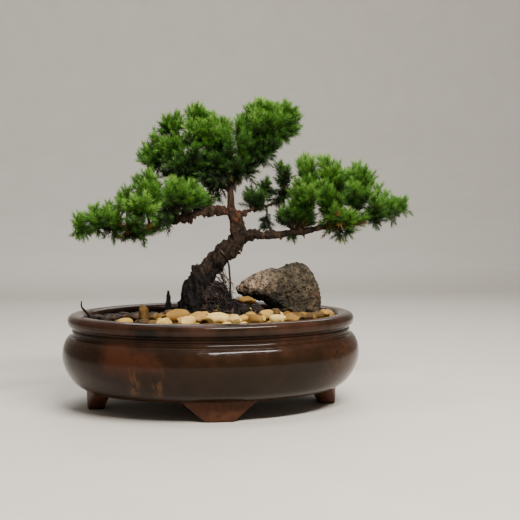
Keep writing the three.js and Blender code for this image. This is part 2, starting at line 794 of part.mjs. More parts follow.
function withinRock(x, y) {
  return x > ROCK_BED.left && x < ROCK_BED.right && Math.abs(y - ROCK_BED.middle) < ROCK_BED.half;
}

// Rows of pebbles laid round the oval from the wall inwards.
function layPebbles() {
  const random = seeded(2024);
  const stones = [];
  for (let row = 0; row < STONE_ROWS; row += 1) {
    const a = FIRST_STONE_ROW - STONE_SPACING * row;
    const oval = new THREE.EllipseCurve(0, 0, a, a - POT_NARROWING, 0, 2 * Math.PI);
    const count = Math.round(oval.getLength() / STONE_SPACING);
    const places = oval.getSpacedPoints(count).slice(0, count);
    for (const place of places) {
      const x = place.x + STONE_DRIFT * (random() - 0.5);
      const y = place.y + STONE_DRIFT * (random() - 0.5);
      const half = STONE_HALF.map((size, axis) => size + STONE_SPREAD[axis] * random());
      const turn = Math.PI * random();
      const seed = 200 + stones.length;
      if (withinMound(x, y) || withinRock(x, y)) {
        continue;
      }
      const centre = [x, y, soilTop(x, y) + 2 * GAP + 1.06 * half[2]];
      const sector = Math.floor(((Math.atan2(y, x) + 2 * Math.PI) % (2 * Math.PI)) / SECTOR_ANGLE);
      stones.push({ centre, half, turn, seed, uneven: 0.12, sector });
    }
  }
  return stones;
}

// The fine gravel between the pebbles of one sector, a low sheet that follows the soil.
function gravelSolid(sector) {
  const outline = [
    [0, 0],
    [GRAVEL_EDGE, 0],
    [GRAVEL_EDGE, GRAVEL_DEPTH],
    [0, GRAVEL_DEPTH],
  ];
  const sheet = ovalTurned(outline, OVAL_SEGMENTS);
  const place = sheet.attributes.position;
  for (let i = 0; i < place.count; i += 1) {
    place.setZ(i, place.getZ(i) + soilTop(place.getX(i), place.getY(i)) + GAP);
  }
  const start = sector * SECTOR_ANGLE;
  const end = start + SECTOR_ANGLE;
  return solidOf(sheet)
    .trimByPlane([-Math.sin(start), Math.cos(start), 0], GAP / 2)
    .trimByPlane([Math.sin(end), -Math.cos(end), 0], GAP / 2);
}

function makePebbles(obstacles) {
  const stones = layPebbles();
  PEBBLE_SECTORS.forEach((sector, index) => {
    let patch = gravelSolid(index);
    const own = stones.filter((stone) => stone.sector === index);
    const others = stones.filter((stone) => stone.sector !== index);
    for (const other of others) {
      if (own.some((stone) => vector(stone.centre).distanceTo(vector(other.centre)) < 2 * STONE_SPACING)) {
        patch = patch.subtract(stoneSolid(other, 0, GAP));
      }
    }
    for (const stone of own) {
      let solid = stoneSolid(stone, 0);
      for (const other of others) {
        const between = vector(stone.centre).sub(vector(other.centre));
        if (between.length() < 1.3 * STONE_SPACING) {
          const middle = vector(other.centre).addScaledVector(between, 0.5);
          const normal = between.normalize();
          solid = solid.trimByPlane(normal.toArray(), middle.dot(normal) + GAP / 2);
        }
      }
      patch = patch.add(solid);
    }
    for (const obstacle of obstacles) {
      patch = patch.subtract(obstacle);
    }
    addPiece(sector.name, largestBody(patch), finishes[sector.colour]);
  });
}

// Straight lengths already filled by wood, twigs and needles, each with its radius at both ends.
const filled = [];

for (const points of Object.values(LIMBS)) {
  for (let i = 0; i + 1 < points.length; i += 1) {
    filled.push({
      start: vector(points[i]),
      end: vector(points[i + 1]),
      startRadius: points[i][3] * WOOD_SWELL,
      endRadius: points[i + 1][3] * WOOD_SWELL,
      owner: "wood",
      part: "wood",
    });
  }
}

// Gap between two tapered lengths, measured at their nearest points.
function gapBetween(one, two) {
  const u = one.end.clone().sub(one.start);
  const v = two.end.clone().sub(two.start);
  const w = one.start.clone().sub(two.start);
  const a = u.dot(u);
  const b = u.dot(v);
  const c = v.dot(v);
  const d = u.dot(w);
  const e = v.dot(w);
  const cross = a * c - b * b;
  let s = cross > 1e-9 ? THREE.MathUtils.clamp((b * e - c * d) / cross, 0, 1) : 0;
  const t = c > 1e-9 ? THREE.MathUtils.clamp((b * s + e) / c, 0, 1) : 0;
  s = a > 1e-9 ? THREE.MathUtils.clamp((b * t - d) / a, 0, 1) : 0;
  const apart = w.addScaledVector(u, s).addScaledVector(v, -t).length();
  const radiusOne = THREE.MathUtils.lerp(one.startRadius, one.endRadius, s);
  const radiusTwo = THREE.MathUtils.lerp(two.startRadius, two.endRadius, t);
  return apart - radiusOne - radiusTwo;
}

// Whether a length stays clear of everything that another twig, or another spray, fills.
function isClear(length) {
  return filled.every((other) => {
    if (other.part === length.part) {
      return true;
    }
    const reach = length.start.distanceTo(length.end) + other.start.distanceTo(other.end) + ROUGH_REACH;
    if (length.start.distanceTo(other.start) > reach) {
      return true;
    }
    if (other.owner === length.owner) {
      return !length.isNeedle || gapBetween(length, other) > SIBLING_GAP;
    }
    return gapBetween(length, other) > GAP;
  });
}

// The point on the middle of the nearest limb.
function nearestOnWood(point) {
  let best = null;
  for (const length of filled) {
    if (length.owner === "wood") {
      const near = new THREE.Line3(length.start, length.end).closestPointToPoint(point, true, new THREE.Vector3());
      if (!best || near.distanceTo(point) < best.distanceTo(point)) {
        best = near;
      }
    }
  }
  return best;
}

// The straight lengths that a twig along a path fills.
function lengthsOf(path, end, owner, part) {
  const pieces = 4;
  const lengths = [];
  for (let i = 0; i < pieces; i += 1) {
    lengths.push({
      start: path.getPointAt((end * i) / pieces),
      end: path.getPointAt((end * (i + 1)) / pieces),
      startRadius: TWIG_RADIUS,
      endRadius: TWIG_RADIUS,
      owner,
      part,
    });
  }
  return lengths;
}

// A sagging path from a start to a tuft; where others are in the way it swings aside until it is clear.
function clearTwig(start, tip, owner, part) {
  const reach = tip.clone().sub(start);
  const side = new THREE.Vector3(-reach.y, reach.x, 0).normalize();
  const rise = reach.clone().cross(side).normalize();
  const sag = new THREE.Vector3(0, 0, -TWIG_SAG * reach.length());
  let twig = null;
  for (const swing of TWIG_SWINGS) {
    for (const lift of TWIG_LIFTS) {
      const bend = start.clone().addScaledVector(reach, 0.5).add(sag);
      bend.addScaledVector(side, swing).addScaledVector(rise, lift);
      const end = tip.clone().addScaledVector(side, swing / 3).addScaledVector(rise, lift / 3);
      const path = new THREE.QuadraticBezierCurve3(start, bend, end);
      const length = path.getLength();
      const leafyEnd = Math.max(1 - NEEDLE_REACH / length, 0.4);
      const lengths = lengthsOf(path, leafyEnd, owner, part);
      twig = { path, length, end: leafyEnd, part };
      if (lengths.every(isClear)) {
        filled.push(...lengths);
        return twig;
      }
    }
  }
  throw new Error("no clear way for " + part);
}

// Lays out a spray: a leading twig that starts beside its limb, and others that fork from it.
function planSpray(name, spray) {
  const root = nearestOnWood(vector(spray.root));
  const tips = spray.tufts.map(vector);
  const middle = tips.reduce((sum, tip) => sum.clone().add(tip)).divideScalar(tips.length);
  const towards = middle.clone().sub(root).normalize();
  const start = root.clone();
  const bead = { start, end: start, startRadius: TWIG_RADIUS, endRadius: TWIG_RADIUS, owner: name, part: name };
  while (!isClear(bead)) {
    start.addScaledVector(towards, 0.1);
  }
  const leader = clearTwig(start, tips[0], name, name + "_0");
  const fork = leader.path.getPointAt(Math.min(FORK_DISTANCE / leader.length, LATEST_FORK));
  const twigs = [leader];
  tips.slice(1).forEach((tip, index) => {
    twigs.push(clearTwig(fork, tip, name, name + "_" + (index + 1)));
  });
  return { name, twigs };
}

const sprayPlans = Object.entries(SPRAYS).map(([name, spray]) => planSpray("spray_" + name, spray));

// A three-sided twig whose faces, along its leafy end, are each drawn out into a needle.
function leafyTwig(plan, twig, random) {
  const positions = [];
  const triangles = [];
  const whorls = twig.length > LONG_TWIG ? MOST_WHORLS : MOST_WHORLS - 1;
  const leafyStart = Math.max(twig.end - (whorls * WHORL_STEP) / twig.length, 0.15);
  const stations = [0];
  const bareLength = leafyStart * twig.length;
  const bareSteps = Math.max(1, Math.round(bareLength / BARE_STEP));
  for (let i = 1; i <= bareSteps; i += 1) {
    stations.push((leafyStart * i) / bareSteps);
  }
  for (let i = 1; i <= whorls; i += 1) {
    stations.push(leafyStart + ((twig.end - leafyStart) * i) / whorls);
  }
  let across = new THREE.Vector3(0.3, 1, 0.1);
  let turn = 2 * Math.PI * random();
  const forwards = [];
  const centres = [];
  stations.forEach((share, row) => {
    const centre = twig.path.getPointAt(share);
    const forward = twig.path.getTangentAt(share);
    across = across.clone().addScaledVector(forward, -across.dot(forward)).normalize();
    const third = forward.clone().cross(across);
    if (row > bareSteps) {
      turn += WHORL_TWIST;
    }
    for (let side = 0; side < 3; side += 1) {
      const angle = turn + (2 * Math.PI * side) / 3;
      const point = centre
        .clone()
        .addScaledVector(across, TWIG_RADIUS * Math.cos(angle))
        .addScaledVector(third, TWIG_RADIUS * Math.sin(angle));
      positions.push(point);
    }
    forwards.push(forward);
    centres.push(centre);
  });
  triangles.push([0, 2, 1]);

  const grow = (a, b, c, row, lean) => {
    const middle = positions[a].clone().add(positions[b]).add(positions[c]).divideScalar(3);
    const forward = forwards[row];
    const out = positions[b].clone().sub(positions[a]).cross(positions[c].clone().sub(positions[a])).normalize();
    const flatOut = out.clone().addScaledVector(forward, -out.dot(forward)).normalize();
    const tilt = lean + 0.1 * (random() - 0.5);
    const way = flatOut.multiplyScalar(Math.cos(tilt)).addScaledVector(forward, Math.sin(tilt));
    const fullLength = NEEDLE_LENGTH * (0.88 + 0.24 * random());
    for (const share of SHORTER_NEEDLES) {
      const tip = middle.clone().addScaledVector(way, fullLength * share);
      const needle = {
        start: middle,
        end: tip,
        startRadius: NEEDLE_ROOT_RADIUS,
        endRadius: 0.1,
        owner: plan.name,
        part: twig.part,
        isNeedle: true,
      };
      if (isClear(needle)) {
        filled.push(needle);
        const apex = positions.push(tip) - 1;
        triangles.push([a, b, apex], [b, c, apex], [c, a, apex]);
        return;
      }
    }
    triangles.push([a, b, c]);
  };

  const lastRow = stations.length - 1;
  for (let row = 0; row < lastRow; row += 1) {
    for (let side = 0; side < 3; side += 1) {
      const a = row * 3 + side;
      const b = row * 3 + ((side + 1) % 3);
      const c = a + 3;
      const d = b + 3;
      if (row < bareSteps) {
        triangles.push([a, b, d], [a, d, c]);
      } else {
        const lean = NEEDLE_LEAN + LEAN_STEP * (row - bareSteps);
        grow(a, b, c, row, lean);
        grow(b, d, c, row, lean);
      }
    }
  }
  const bud = positions.push(centres[lastRow].clone().addScaledVector(forwards[lastRow], BUD_LENGTH)) - 1;
  for (let side = 0; side < 3; side += 1) {
    const a = lastRow * 3 + side;
    const b = lastRow * 3 + ((side + 1) % 3);
    grow(a, b, bud, lastRow, BUD_LEAN);
  }
  const geometry = new THREE.BufferGeometry();
  const numbers = positions.flatMap((point) => point.toArray());
  geometry.setAttribute("position", new THREE.Float32BufferAttribute(numbers, 3));
  geometry.setIndex(triangles.flat());
  return geometry;
}

function makeSpray(plan, index) {
  const random = seeded(900 + 7 * index);
  const spray = joined(plan.twigs.map((twig) => solidOf(leafyTwig(plan, twig, random))));
  addPiece(plan.name, largestBody(spray), finishes.needles);
}

makePot();
makeScreen("drainage_screen_left", -DRAIN_X);
makeScreen("drainage_screen_right", DRAIN_X);

const woodSpace = Object.entries(LIMBS)
  .filter(([name]) => name === "stem" || name.startsWith("root"))
  .map(([, points]) => limbSolid(points, GAP));
makeSoil(woodSpace, wireSolid(GAP));
addPiece("trunk", joined(Object.values(LIMBS).map((points) => limbSolid(points))), finishes.bark);
addPiece("tie_wire", wireSolid(), finishes.wire);
addPiece("rock", rockSolid(), finishes.rock);
addPiece("pebble_ochre", stoneSolid(ochreStone, 1), finishes.tan);
addPiece("pebble_upright", stoneSolid(uprightStone, 1), finishes.tan);
addPiece("bark_chip", chipSolid(), finishes.bark);
addPiece("rim_twig", limbSolid(TWIG_POINTS), finishes.bark);
makePebbles([
  moundSolid(GAP),
  rockSolid(GAP),
  ...woodSpace,
  wireSolid(GAP),
  stoneSolid(uprightStone, 1, GAP),
  chipSolid(GAP),
  limbSolid(TWIG_POINTS, GAP),
]);
sprayPlans.forEach(makeSpray);

// The origin is the middle of the whole plant's and pot's footprint, on the surface it stands on.
const bounds = new THREE.Box3().setFromObject(bonsai, true);
const centre = bounds.getCenter(new THREE.Vector3());
bonsai.position.set(-centre.x, -centre.y, -bounds.min.z);

export default bonsai;
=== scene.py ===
"""Looks of a juniper bonsai: glazed oval pot, river pebbles, rock, root-bound mound, bark and needles."""

import math
import random

import bpy
from mathutils import Matrix, Vector


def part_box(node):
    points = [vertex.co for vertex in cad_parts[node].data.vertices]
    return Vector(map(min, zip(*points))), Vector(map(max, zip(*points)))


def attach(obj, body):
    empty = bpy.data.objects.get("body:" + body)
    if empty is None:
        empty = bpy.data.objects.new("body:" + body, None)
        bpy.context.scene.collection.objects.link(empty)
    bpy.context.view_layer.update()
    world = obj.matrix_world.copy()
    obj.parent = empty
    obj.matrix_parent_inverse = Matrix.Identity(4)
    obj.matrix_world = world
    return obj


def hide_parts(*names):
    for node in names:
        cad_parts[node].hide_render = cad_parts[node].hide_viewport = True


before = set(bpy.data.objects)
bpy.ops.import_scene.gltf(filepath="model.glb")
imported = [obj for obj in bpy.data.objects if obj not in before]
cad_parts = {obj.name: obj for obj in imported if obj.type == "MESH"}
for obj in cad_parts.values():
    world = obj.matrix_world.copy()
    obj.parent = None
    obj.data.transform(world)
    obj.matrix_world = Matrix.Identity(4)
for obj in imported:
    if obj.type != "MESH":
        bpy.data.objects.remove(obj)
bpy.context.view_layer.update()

MM = 0.001
low_corner, high_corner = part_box("pot")
MIDDLE_X = (low_corner[0] + high_corner[0]) / 2
MIDDLE_Y = (low_corner[1] + high_corner[1]) / 2

# The pot, in millimetres from the middle of its footprint.
POT_NARROWING = 22.3
POT_SIDES = 128
POT_OUTLINE = [
    (78, 14.4), (84, 12.9), (86.9, 13.4), (93, 17.6), (97.4, 23.5), (100.3, 29.5), (101.5, 35.8),
    (100.9, 41.7), (99.2, 46.2), (98.0, 47.9), (97.2, 48.9), (95.4, 49.6), (94.6, 50.6), (94.5, 51.6),
    (95.0, 52.4), (94.8, 53.4), (94.4, 54.6), (95.2, 55.5), (96.8, 56.2), (97.5, 57.8), (97.7, 60),
    (97.1, 61.9), (95.6, 63.2), (92.5, 63.8), (89.2, 63.6), (87.2, 62.8), (86.3, 61.2), (85.9, 58),
    (89.5, 48), (93, 36), (89.5, 26), (82, 20.5),
]
FOOT_TOP = 17.0
FOOT_OVAL = 85.4
FOOT_THICKNESS = 11.5
FOOT_HALF_TOP = 27.0
FOOT_HALF_BOTTOM = 9.0
FOOT_CLIMB = 15.0
FOOT_BEND = 1.5  # half the length of the bend between a foot's sole and its slope
FOOT_CORNER = 0.42  # bevel of a foot's lower corners, as a share of its height
FOOT_STEPS = 36
DRAINS = (-38, 38)
DRAIN_RADIUS = 7
DRAIN_CUT = 20
DRAIN_MIDDLE = 18

# The bed's height in the middle, and how much it falls towards the back for each millimetre.
SOIL_LEVEL = 54
SOIL_TILT = 0.06

# The sprays of each pad in turn: root, brightness of the green (low for sprays deep inside a pad, which paints
# their shade), share of dead shoots, tips of the tufts.
LEFT_SPRAYS = [
    ((-86, -26, 123), 0.92, 0, ((-93, -27, 125), (-89, -30, 115), (-87, -23, 134), (-80, -26, 117), (-90, -26, 130),
        (-85, -28, 119))),
    ((-76, -25, 123), 0.8, 0, ((-79, -27, 139), (-81, -40, 129), (-74, -34, 131), (-77, -26, 117),
        (-79, -28, 133))),
    ((-68, -24, 122), 0.8, 0, ((-69, -18, 141), (-74, -4, 132), (-69, -38, 132), (-62, -24, 133), (-62, -30, 116),
        (-73, -24, 137), (-67, -18, 135), (-62, -26, 126), (-63, -18, 121))),
    ((-58, -20, 135), 0.9, 0, ((-62, -12, 145), (-56, -24, 151), (-63, -36, 138), (-52, -10, 133), (-63, -24, 137),
        (-56, -16, 143))),
    ((-44, -21, 138), 0.81, 0, ((-52, -20, 158), (-45, -34, 152), (-38, -18, 157), (-42, -34, 134), (-35, -20, 143),
        (-43, -22, 154), (-48, -30, 150), (-37, -34, 147), (-42, -40, 139), (-40, -20, 158), (-44, -22, 162),
        (-42, -14, 157), (-44, -16, 158))),
    ((-41, 6, 134), 0.47, 0, ((-49, 8, 146), (-40, 20, 146), (-30, 10, 143), (-34, 8, 153), (-27, 14, 147),
        (-44, 12, 143))),
    ((-49, -40, 133), 0.95, 0, ((-55, -46, 142), (-45, -54, 143), (-39, -50, 133), (-55, -42, 131), (-46, -42, 129),
        (-61, -40, 137), (-51, -48, 137))),
    ((-22, -24, 138), 0.81, 0, ((-29, -26, 153), (-20, -36, 149), (-33, -40, 146), (-28, -28, 144), (-32, -22, 140),
        (-26, -30, 155), (-19, -32, 144), (-28, -6, 137), (-35, -8, 132), (-42, -26, 127), (-31, -24, 156),
        (-34, -7, 123))),
    ((-18, -11, 130), 0.7, 0.1, ((-11, -14, 148), (-9, -25, 146), (-19, -34, 143), (-29, -7, 131), (-21, -5, 135),
        (-13, -2, 138), (-5, -18, 147), (2, 5, 140), (-14, -24, 154), (-23, -20, 150), (-1, 4, 137))),
    ((-57, -22, 122), 0.5, 0.07, ((-56, -22, 114), (-48, -31, 116), (-56, -26, 126), (-50, -28, 122),
        (-42, -20, 117), (-67, -24, 124), (-53, -24, 119), (-42, -24, 120), (-48, -28, 126), (-32, -5, 121))),
]
CROWN_SPRAYS = [
    ((-37, -2, 167), 0.65, 0, ((-51, -4, 169), (-47, 4, 178), (-44, -17, 164), (-33, -2, 167), (-41, 4, 173),
        (-44, 0, 172), (-41, -8, 165), (-47, -4, 174), (-35, -4, 162), (-38, 4, 162), (-47, 4, 165),
        (-46, 2, 172))),
    ((-23, 2, 172), 0.7, 0, ((-40, -7, 182), (-42, 18, 175), (-35, -22, 176), (-22, 10, 187), (-29, 0, 187),
        (-35, -10, 172), (-27, -16, 180), (-42, -2, 185), (-40, 4, 179))),
    ((-27, 2, 186), 0.8, 0, ((-35, 5, 190), (-31, -7, 197), (-20, 2, 201), (-26, 2, 198), (-24, -8, 189),
        (-33, 0, 193), (-17, -4, 193))),
    ((-5, 8, 190), 0.85, 0, ((-11, 6, 207), (-3, 15, 202), (-15, 20, 200), (-17, 8, 204), (-7, 8, 204),
        (-16, 12, 197), (-1, 12, 201))),
    ((-1, 8, 183), 0.9, 0, ((2, 1, 201), (-6, -14, 192), (-18, -16, 189), (-14, -4, 181), (-2, 4, 196),
        (-10, -12, 185), (1, -6, 193), (-4, -12, 176))),
    ((5, 7, 173), 0.75, 0, ((11, 4, 198), (4, -16, 188), (16, 20, 193), (15, 8, 175), (6, 2, 197), (9, -12, 187),
        (14, -8, 181), (8, 2, 179), (17, 2, 171), (14, 4, 196))),
    ((-2, 26, 179), 0.5, 0, ((-10, 36, 190), (4, 38, 189), (-20, 30, 180), (-12, 34, 185), (-27, 28, 182),
        (-16, 10, 186))),
    ((-14, 3, 159), 0.28, 0, ((-22, -24, 172), (-11, -24, 177), (-30, -26, 162), (-14, -10, 167), (-8, -6, 159),
        (-26, -6, 170), (-34, -18, 168), (-28, 0, 157), (-20, -8, 153), (-10, -2, 148), (-23, -22, 163),
        (-36, -8, 157), (-15, 4, 158), (-3, 12, 171), (-17, 8, 174))),
    ((9, 6, 165), 0.18, 0, ((-1, -15, 167), (12, -15, 176), (1, -16, 153), (-2, 0, 164), (3, 5, 151), (-3, 10, 175),
        (-3, 2, 144), (3, 4, 138), (-8, -10, 155), (6, -14, 160), (9, -12, 169), (-1, 8, 164), (4, -4, 155),
        (-11, -6, 163), (-29, 6, 155), (-5, 8, 175), (-5, 4, 151), (-8, 10, 168), (-3, 6, 149), (-7, 2, 151),
        (-7, 8, 169))),
]
TOP_SPRAYS = [
    ((28, 8, 169), 0.65, 0, ((18, -1, 197), (23, 8, 201), (20, -15, 184), (26, 10, 178), (18, 6, 186), (16, 0, 193),
        (20, 4, 200), (22, -8, 189), (19, -6, 173), (17, 2, 180), (23, 6, 181))),
    ((36, 9, 181), 0.8, 0, ((27, 0, 207), (33, 11, 212), (28, -15, 194), (26, 4, 190), (24, 4, 206), (29, -10, 201),
        (35, 8, 211))),
    ((42, 10, 187), 0.75, 0, ((40, 3, 208), (37, -13, 196), (48, 27, 203), (35, 2, 190), (36, 6, 209), (45, 8, 208),
        (39, -10, 197), (48, 4, 205))),
    ((50, 10, 194), 0.75, 0, ((54, 10, 209), (61, 5, 203), (64, 12, 194), (49, 6, 208), (58, 10, 206), (55, 4, 200),
        (60, 2, 196))),
    ((45, 10, 190), 0.65, 0, ((62, 5, 186), (49, -9, 195), (57, 25, 189), (58, 8, 184), (51, 6, 179), (45, -6, 188),
        (60, 10, 191), (45, 0, 181))),
    ((38, 21, 184), 0.55, 0, ((39, 36, 198), (29, 30, 190), (46, 36, 183), (32, 12, 184), (39, 30, 191),
        (28, 24, 196))),
    ((33, 9, 176), 0.2, 0, ((46, -5, 179), (46, 13, 173), (37, -6, 165), (42, -2, 174), (49, 4, 176), (33, -6, 170),
        (39, 2, 167), (29, -4, 176))),
    ((22, 6, 161), 0.18, 0, ((13, -15, 163), (20, 6, 166), (12, 4, 161), (27, 2, 163), (22, -8, 170), (19, -4, 157),
        (14, 2, 155), (11, 4, 150), (27, -6, 157), (31, 4, 164), (34, 6, 168))),
]
MIDDLE_SPRAYS = [
    ((30, 6, 134), 0.22, 0.05, ((23, 2, 145), (30, 9, 144), (34, 8, 139), (38, 6, 146), (28, 8, 151),
        (38, 6, 135))),
    ((38, 13, 149), 0.26, 0, ((38, 8, 146), (43, 12, 152), (36, 12, 154), (40, 8, 147), (44, 10, 142),
        (38, 14, 153))),
    ((52, 16, 146), 0.35, 0, ((49, 16, 168), (54, 12, 165), (49, 10, 140), (53, 14, 150), (50, 16, 158),
        (52, 12, 141), (45, 12, 136), (58, 14, 143))),
    ((39, 8, 127), 0.3, 0, ((38, 6, 118), (37, 8, 124), (40, 8, 121))),
]
RIGHT_SPRAYS = [
    ((56, -2.5, 119), 0.41, 0.05, ((48, -2, 132), (54, -14, 134), (56, -5, 112), (64, -2, 129), (57, -4, 137),
        (61, 0, 128), (51, 3, 128), (68, 2, 126), (61, -12, 133), (65, -8, 130), (71, -8, 127), (68, -14, 134),
        (45, -4, 134), (50, -8, 135), (47, 2, 129), (53, 5, 127))),
    ((65, -4, 133), 0.76, 0, ((56, -14, 156), (54, 5, 148), (66, -28, 147), (71, -6, 136), (67, 2, 144),
        (59, -18, 150), (57, -8, 142), (63, -14, 140), (64, -24, 148), (51, -10, 138))),
    ((69, -4, 142), 0.8, 0, ((59, -2, 170), (65, 5, 173), (68, -10, 171), (62, -6, 164), (67, 2, 168),
        (65, -14, 156), (62, 2, 156))),
    ((82, -6, 132), 0.63, 0, ((74, -31, 150), (74, 18, 154), (84, -28, 143), (75, -8, 130), (80, -10, 140),
        (72, -24, 144), (75, -22, 136), (72, -12, 154), (84, -18, 137), (76, -28, 146))),
    ((86, -4, 144), 0.8, 0, ((74, 1, 172), (78, -6, 172), (87, -2, 168), (77, 2, 168), (81, -8, 164), (73, -6, 161),
        (83, -10, 156), (89, 2, 164), (77, 2, 163))),
    ((101, -6, 136), 0.75, 0, ((94, 11, 161), (93, -24, 150), (107, -19, 147), (101, -4, 139), (93, 0, 140),
        (93, -6, 162), (93, -14, 154), (97, -16, 147), (90, -10, 144), (102, -10, 136), (94, 4, 155))),
    ((104, -5, 145), 0.8, 0, ((100, 1, 168), (105, -8, 165), (113, 3, 160), (100, -6, 161), (96, 2, 164),
        (105, -6, 155), (110, -2, 153))),
    ((113, -5, 127), 0.75, 0, ((115, -5, 153), (124, 6, 148), (112, -19, 140), (106, -8, 131), (117, -6, 122),
        (109, -10, 144), (115, -12, 136), (121, -4, 141), (111, -8, 135), (124, -6, 132), (115, -8, 132))),
    ((124, -4, 131), 0.7, 0, ((128, -2, 143), (122, -15, 137), (133, 9, 130), (124, -6, 140), (128, -8, 135),
        (120, -6, 130), (132, 0, 132))),
    ((132, -3, 135), 0.75, 0, ((133, -8, 131), (134, -4, 137), (130, -2, 143), (136, -4, 135))),
    ((89, -6, 124), 0.74, 0.2, ((98, -6, 116), (87, -5, 111), (80, -31, 134), (95, -6, 132), (85, -2, 130),
        (91, -10, 130), (77, -8, 126), (83, -12, 125), (101, -8, 128), (73, -14, 131), (73, -6, 120), (97, -4, 122),
        (90, -14, 125), (94, -20, 131), (101, -12, 130), (86, -18, 129), (79, -18, 131), (107, -8, 126),
        (110, -8, 129), (92, -12, 135))),
    ((87, 20, 134), 0.55, 0, ((78, 31, 147), (92, 35, 151), (103, 30, 142), (94, 24, 150), (103, 28, 157))),
]
PADS = {
    "left": LEFT_SPRAYS,
    "crown": CROWN_SPRAYS,
    "top": TOP_SPRAYS,
    "middle": MIDDLE_SPRAYS,
    "right": RIGHT_SPRAYS,
}

WIRE_BROWNS = [(0.35, (0.01, 0.007, 0.006)), (0.7, (0.05, 0.03, 0.02))]
MESH_BLACKS = [(0.3, (0.01, 0.01, 0.01)), (0.7, (0.03, 0.03, 0.03))]
BACKDROP_PALES = [(0.3, (0.6, 0.555, 0.49)), (0.7, (0.63, 0.585, 0.52))]

# The camera: place from the pot's middle, turn in degrees, focal length and picture's side in pixels.
EYE = (-58.0, -759.8, 147.6)
EYE_TURN = (86.32, 0.1, -6.86)
FOCAL_PIXELS = 1116
IMAGE_PIXELS = 520
# The floor's and backdrop's section: distance from the middle and height, in metres.
SWEEP = [(1.2, 0.0), (1.6, 0.02), (1.95, 0.1), (2.25, 0.26), (2.45, 0.5), (2.55, 0.8), (2.6, 1.2), (2.6, 2.0)]

# Share of the twigs that is bare of shoots, in sprays that let their limb show.
USUAL_BARE_SHARE = 0.06
BARE_SHARES = {"left_8": 0.3, "left_9": 0.42, "left_10": 0.15, "right_1": 0.42, "middle_3": 0.2}

NEEDLE_LENGTH = 6.0
NEEDLE_HALF_WIDTH = 0.37
NEEDLE_SPREAD = 54  # degrees from the stem in the lowest whorl
NEEDLE_SPREAD_LOSS = 37  # degrees less in the highest
WHORL_TURN = 61  # degrees from a whorl to the next
SHOOT_STEM = 8.6
SHOOT_RADIUS = 0.42
SHOOT_LENGTH = 12.2
SHOOT_WHORLS = 9
SHOOT_KINDS = 6
SHOOT_SPACING = 2.3
SHOOT_SIZES = (0.76, 1.0)
SHOOT_SPREAD = 66  # degrees from the twig at its root
SHOOT_SPREAD_LOSS = 34  # degrees less at its tip
LEADING_SPREAD = 4
SHORTEST_SHARE = 0.7
LEAFY_END = 0.86
STEM_YOUTH = -1.0  # marks stems for the needles' finish
DEAD_TONE = -1.0  # marks dead shoots for it
HANGING_DEAD = 1.7  # how much more often than the spray's share hanging shoots are dead
UPRIGHT_DEAD = 0.5
UPWARD_PULL = 0.5
TWIG_JOINTS = (0, 0.3, 0.6, 0.85)
TWIG_RADIUS = 0.7
TWIG_TAPER = 0.13
UPRIGHT_LIGHT = 0.24  # painted light: upright shoots are brighter, as lit from above, and so are those at the tips
TIP_LIGHT = 0.5
LIT_DEPTH = 8  # below the top of a spray by more than this its shoots get painted shade
SHADE_PER_MM = 0.014
GOLDEN_ANGLE = math.radians(137.5)

# Pebbles of the front row: place in X and Y, top, width, tone from dark (0) to white (1).
FRONT_PEBBLES = [
    (-63.8, -30, 67.2, 9.7, 0.08), (-59.9, -41, 65.0, 8.6, 0.78), (-54.2, -37, 67.6, 8.0, 0.18),
    (-47.6, -48.5, 65.0, 7.4, 0.25), (-34.4, -52, 66.0, 11.4, 0.86), (-40.2, -42, 67.6, 9.0, 0.42),
    (-30.5, -31, 69.0, 9.6, 0.3), (-26.0, -43, 70.0, 12.6, 0.62), (-20.5, -54, 66.8, 12.6, 0.88),
    (-11.4, -45, 69.4, 12.4, 0.7), (0.7, -52, 68.5, 12.8, 0.95), (11.4, -53, 68.0, 10.4, 0.92),
    (21.9, -52.5, 67.3, 12.2, 0.55), (31.9, -45, 69.2, 10.4, 0.76), (38.6, -38, 69.8, 10.6, 0.35),
    (39.4, -52, 66.8, 8.6, 0.97), (48.0, -48.5, 67.0, 9.4, 0.58), (54.8, -41, 67.4, 8.8, 0.38),
    (61.4, -40, 65.6, 8.6, 0.33), (66.6, -33, 66.4, 8.4, 0.4), (73.2, -25, 66.8, 8.8, 0.66),
]
PALE_CRUMBS = [(25.3, -10.4, 67.5, 3.0, 0.85), (2.4, -11.4, 66.8, 2.8, 0.6)]
PEBBLE_PATCHES = ["back_right", "back", "back_left", "front_left", "front", "front_right"]
PEBBLE_KINDS = 6
CLOSE_KINDS = 8
BED_ROWS = 9
BED_HALF_LENGTH = 80
BED_HALF_DEPTH = 57
BED_WIDTHS = (8.4, 11.6)
FILLER_WIDTHS = (5.6, 7.6)
OCHRE_PLACE = (23.4, -7.5, 72.4)
UPRIGHT_PLACE = (-47.6, -38, 66.4)
ROCK_BED = (33, 79, 9, 18.5)  # left and right end, middle and half depth of the rock's place in the bed
MOUND_MIDDLE = (8, 1)
MOUND_REACH = (26, 18)
MOUND_FOOT = 58.5  # roots that start lower than this would lie under the pebbles
CREEPING_ROOTS = 600
HANGING_ROOTS = 26
ROOT_RADIUS = 0.3
MOUND_LUMPS = [((1, 2), (14, 15)), ((18, 0), (18, 15)), ((-9, 1), (17, 16))]

WIRE_RADIUS = 0.7
WIRE_KNOTS = [
    (12.6, -1, 57), (12.9, -1, 66), (12.2, -1, 74), (12.7, -1.4, 82), (12.1, -2, 90), (11.4, -1.2, 97),
    (9.6, 0, 101),
]
WIRE_LOOP_MIDDLE = (7.6, 1, 104)
WIRE_LOOP_AXIS = (6.2, 0, 5.6)
WIRE_LOOP_RADIUS = 6.2
TWIG_RADII = [0.8, 0.75, 0.85, 0.6, 0.35]
TWIG_KNOTS = [(-82.2, 4, 57), (-84.0, 4, 62.6), (-86.4, 4, 65.6), (-88.3, 4, 68.2), (-88.4, 4, 72.2)]


